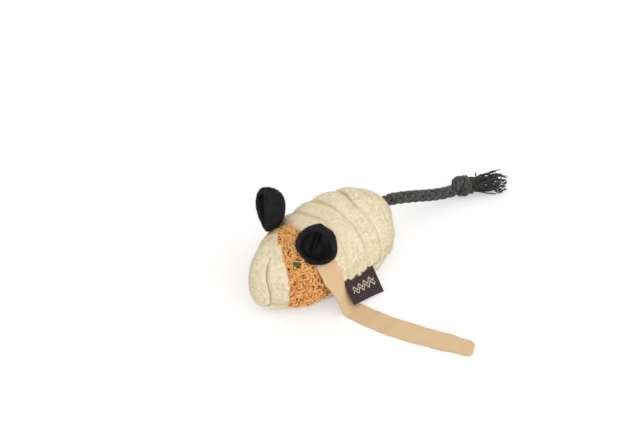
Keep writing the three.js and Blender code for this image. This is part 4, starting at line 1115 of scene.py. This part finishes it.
wadding = dict(crown=0.5, rightCrown=0.5, faceCrown=2.2, creaseDepth=3.0, power=2.6, seamPower=10,
               under=2.2, lump=0.35, lumpSize=6, drawn=0.4, drawnFrom=(30, 50), socket=(-1.3, 27.8),
               socketY=47.6, socketEdge=(4.9, 6.2), hollowRoom=0.6, hollowLift=0.5, hollowEdge=(1.08, 1.0),
               hollowBox=(20, 12))
pouch = dict(length=36.0, width=25.0, height=9.0, sheet=0.8, centreY=6.0, corner=3.5, floor=1.6,
             charge=0.85, wrinkle=0.35)
rings = []
u, s = np.meshgrid(np.linspace(0, 1, 16), np.linspace(-1, 3, 120, endpoint=False), indexing="ij")
for k in range(lastBand + 1):
    depth = reliefDepth(k, u, s, dict(puff, **wadding)) + wadding["under"]
    if 0 < k < lastBand:
        flat = onColumn(bandY(k, u, s, depth), s, depth, 0)
        depth = depth + wadding["lump"] * (1 + softNoise(flat, wadding["lumpSize"], 61))
    grid = onColumn(bandY(k, u, s, depth), s, depth, 0)
    rings.append(grid if k == lastBand else grid[:-1])
filling = np.concatenate(rings)
x, y, z = np.moveaxis(filling, -1, 0)  # these are views of the filling
y[:] = rumpDrawn(y) - wadding["drawn"] * smooth(y, *wadding["drawnFrom"])
# a hollow under it for the pouch, and one behind for the root of the rope
power = pouch["corner"]
across, along = (pouch[key] / 2 + wadding["hollowRoom"] for key in ("width", "length"))
radius = (np.abs(x) / across) ** power + (np.abs(y - pouch["centreY"]) / along) ** power
roof = pouch["floor"] + pouch["height"] + wadding["hollowLift"]
over = lerp(z, roof, smooth(radius ** (1 / power), *wadding["hollowEdge"]))
wide, high = wadding["hollowBox"]
z[:] = np.where((z < high) & (np.abs(x) < wide), over, z)
away = np.hypot(x - wadding["socket"][0], z - wadding["socket"][1])
near = (y > 46) & (away < wadding["socketEdge"][1])
y[:] = np.where(near, lerp(wadding["socketY"], y, smooth(away, *wadding["socketEdge"])), y)
fillingPiece = makePiece("fibreFilling", ringShape(filling), whiteFibre, "mouse",
                         "white_fibre", "fibre_filling")


def pillowGrid(share, length, width):
    # superellipse outline scaled by each ring's share, flat at z = 0
    share, turn = np.meshgrid(share, np.linspace(0, 2 * math.pi, 97)[:-1], indexing="ij")
    cosine, sine = np.cos(turn), np.sin(turn)
    power = pouch["corner"]
    radius = share * (np.abs(cosine) ** power + np.abs(sine) ** power) ** (-1 / power)
    return np.stack([width / 2 * radius * cosine, length / 2 * radius * sine, 0 * share], -1), share, turn


pouchMiddle = np.array([0, pouch["centreY"], pouch["floor"] + pouch["height"] / 2])
pouchCrown = pouch["height"] / 2 - pouch["sheet"] - 0.15
for sign, word in ((1, "top"), (-1, "bottom")):
    grid, share, turn = pillowGrid(np.linspace(0, 1, 40), pouch["length"], pouch["width"])
    # a dome of one less the share squared, puckered toward its sewn rim
    pucker = pouch["wrinkle"] * share ** 3 * (1 - share ** 12) * np.sin(turn * 17 + 2 * np.sin(turn * 3))
    dome = pouchCrown * (1 - share ** 2) + pucker * (share < 1)
    level = [sign * (0.15 + thick + dome) for thick in (pouch["sheet"], 0)]
    outer, inner = (pouchMiddle + np.concatenate([grid[..., :2], z[..., None]], -1) for z in level)
    marks = np.stack([outer[..., 0], outer[..., 1]], -1)
    shell = shellShape(outer, inner, True, True, False, marks)
    piece = makePiece("muslinPouch_" + word, shell, muslinCloth, "mouse", "muslin", "catnip_pouch_" + word)

upper, share, turn = pillowGrid(np.linspace(0, 1, 26), pouch["length"] * pouch["charge"],
                                pouch["width"] * pouch["charge"])
lower = upper[::-1][1:].copy()
heapCrown = pouchCrown - 0.6
upper[..., 2] = heapCrown * (1 - share ** 2)
lower[..., 2] = -heapCrown * (1 - share[::-1][1:] ** 2)
heap = np.concatenate([upper, lower])
inside = smooth(1 - np.concatenate([share, share[::-1][1:]]), 0, 0.15)[..., None]
heap = pouchMiddle + heap * (1 - 0.05 * inside * (1 + softNoise(heap, 4, 71)[..., None]))
flakes = dict(density=0.9, length=1.2, width=1.5, sink=0.2, comb=(0, 0, 0), stray=2.5, toneSpread=0.25)
heapNormals = gridNormals(heap[1:-1], np.broadcast_to(pouchMiddle, heap[1:-1].shape), True)
crumbs = napShape(heap[1:-1], heapNormals, flakes, True)
heapPiece = makePiece("catnipHeap", joined(ringShape(heap), crumbs), driedLeaf, "mouse",
                      "dried_catnip", "catnip_charge")
print("inside made")


# floor and light: a white floor that only the camera and reflections see as white, and keeps the shadow

room = dict(floorSize=6.0, worldLevel=0.83, keyLevel=0.06, keyWidth=36, fillLevel=0.11, fillWidth=80,
            floorBounce=0.96, floorSeen=0.66, floorGlow=0.41)
floorMesh = bpy.data.meshes.new("studioFloor")
reach = room["floorSize"] / 2
corners = [(x * reach, y * reach, -0.0001) for x, y in ((-1, -1), (1, -1), (1, 1), (-1, 1))]
floorMesh.from_pydata(corners, [], [(0, 1, 2, 3)])
floor = bpy.data.objects.new("studioFloor", floorMesh)
bpy.context.scene.collection.objects.link(floor)


def seenDirectly(tree):
    # 1 for camera, mirror and glass rays, 0 for the light that the floor and sky throw
    rays = addNode(tree, "ShaderNodeLightPath").outputs
    seen = maths(tree, "MAXIMUM", rays["Is Camera Ray"], rays["Is Glossy Ray"])
    return maths(tree, "MAXIMUM", seen, rays["Is Transmission Ray"])


floorLook = bpy.data.materials.new("studioFloor")
floorLook.use_nodes = True
tree = floorLook.node_tree
shader = tree.nodes["Principled BSDF"]
shader.inputs["Roughness"].default_value = 1.0
shader.inputs["Specular IOR Level"].default_value = 0.0
bounce, white = ((*[room[key]] * 3, 1) for key in ("floorBounce", "floorSeen"))
seen = seenDirectly(tree)
tree.links.new(mixColour(tree, seen, bounce, white), shader.inputs["Base Color"])
shader.inputs["Emission Color"].default_value = (1, 1, 1, 1)
tree.links.new(maths(tree, "MULTIPLY", seen, room["floorGlow"]), shader.inputs["Emission Strength"])
floorMesh.materials.append(floorLook)

world = bpy.data.worlds.new("studioWorld")
world.use_nodes = True
tree = world.node_tree
background = tree.nodes["Background"]
level = maths(tree, "MULTIPLY_ADD", seenDirectly(tree), 1 - room["worldLevel"], room["worldLevel"])
tree.links.new(level, background.inputs["Strength"])
background.inputs["Color"].default_value = (1, 1, 1, 1)
bpy.context.scene.world = world


def sunLamp(name, toward, level, width):
    # level is what a white floor under this lamp alone would show
    data = bpy.data.lights.new(name, "SUN")
    toward = Vector(toward).normalized()
    data.energy = level * math.pi / toward.z
    data.angle = math.radians(width)
    lamp = bpy.data.objects.new(name, data)
    lamp.rotation_euler = toward.to_track_quat("Z", "Y").to_euler()
    bpy.context.scene.collection.objects.link(lamp)


sunLamp("keyLamp", (0.1, -0.35, 0.93), room["keyLevel"], room["keyWidth"])
sunLamp("fillLamp", (0.85, 0.25, 0.46), room["fillLevel"], room["fillWidth"])
print("floor and light set")
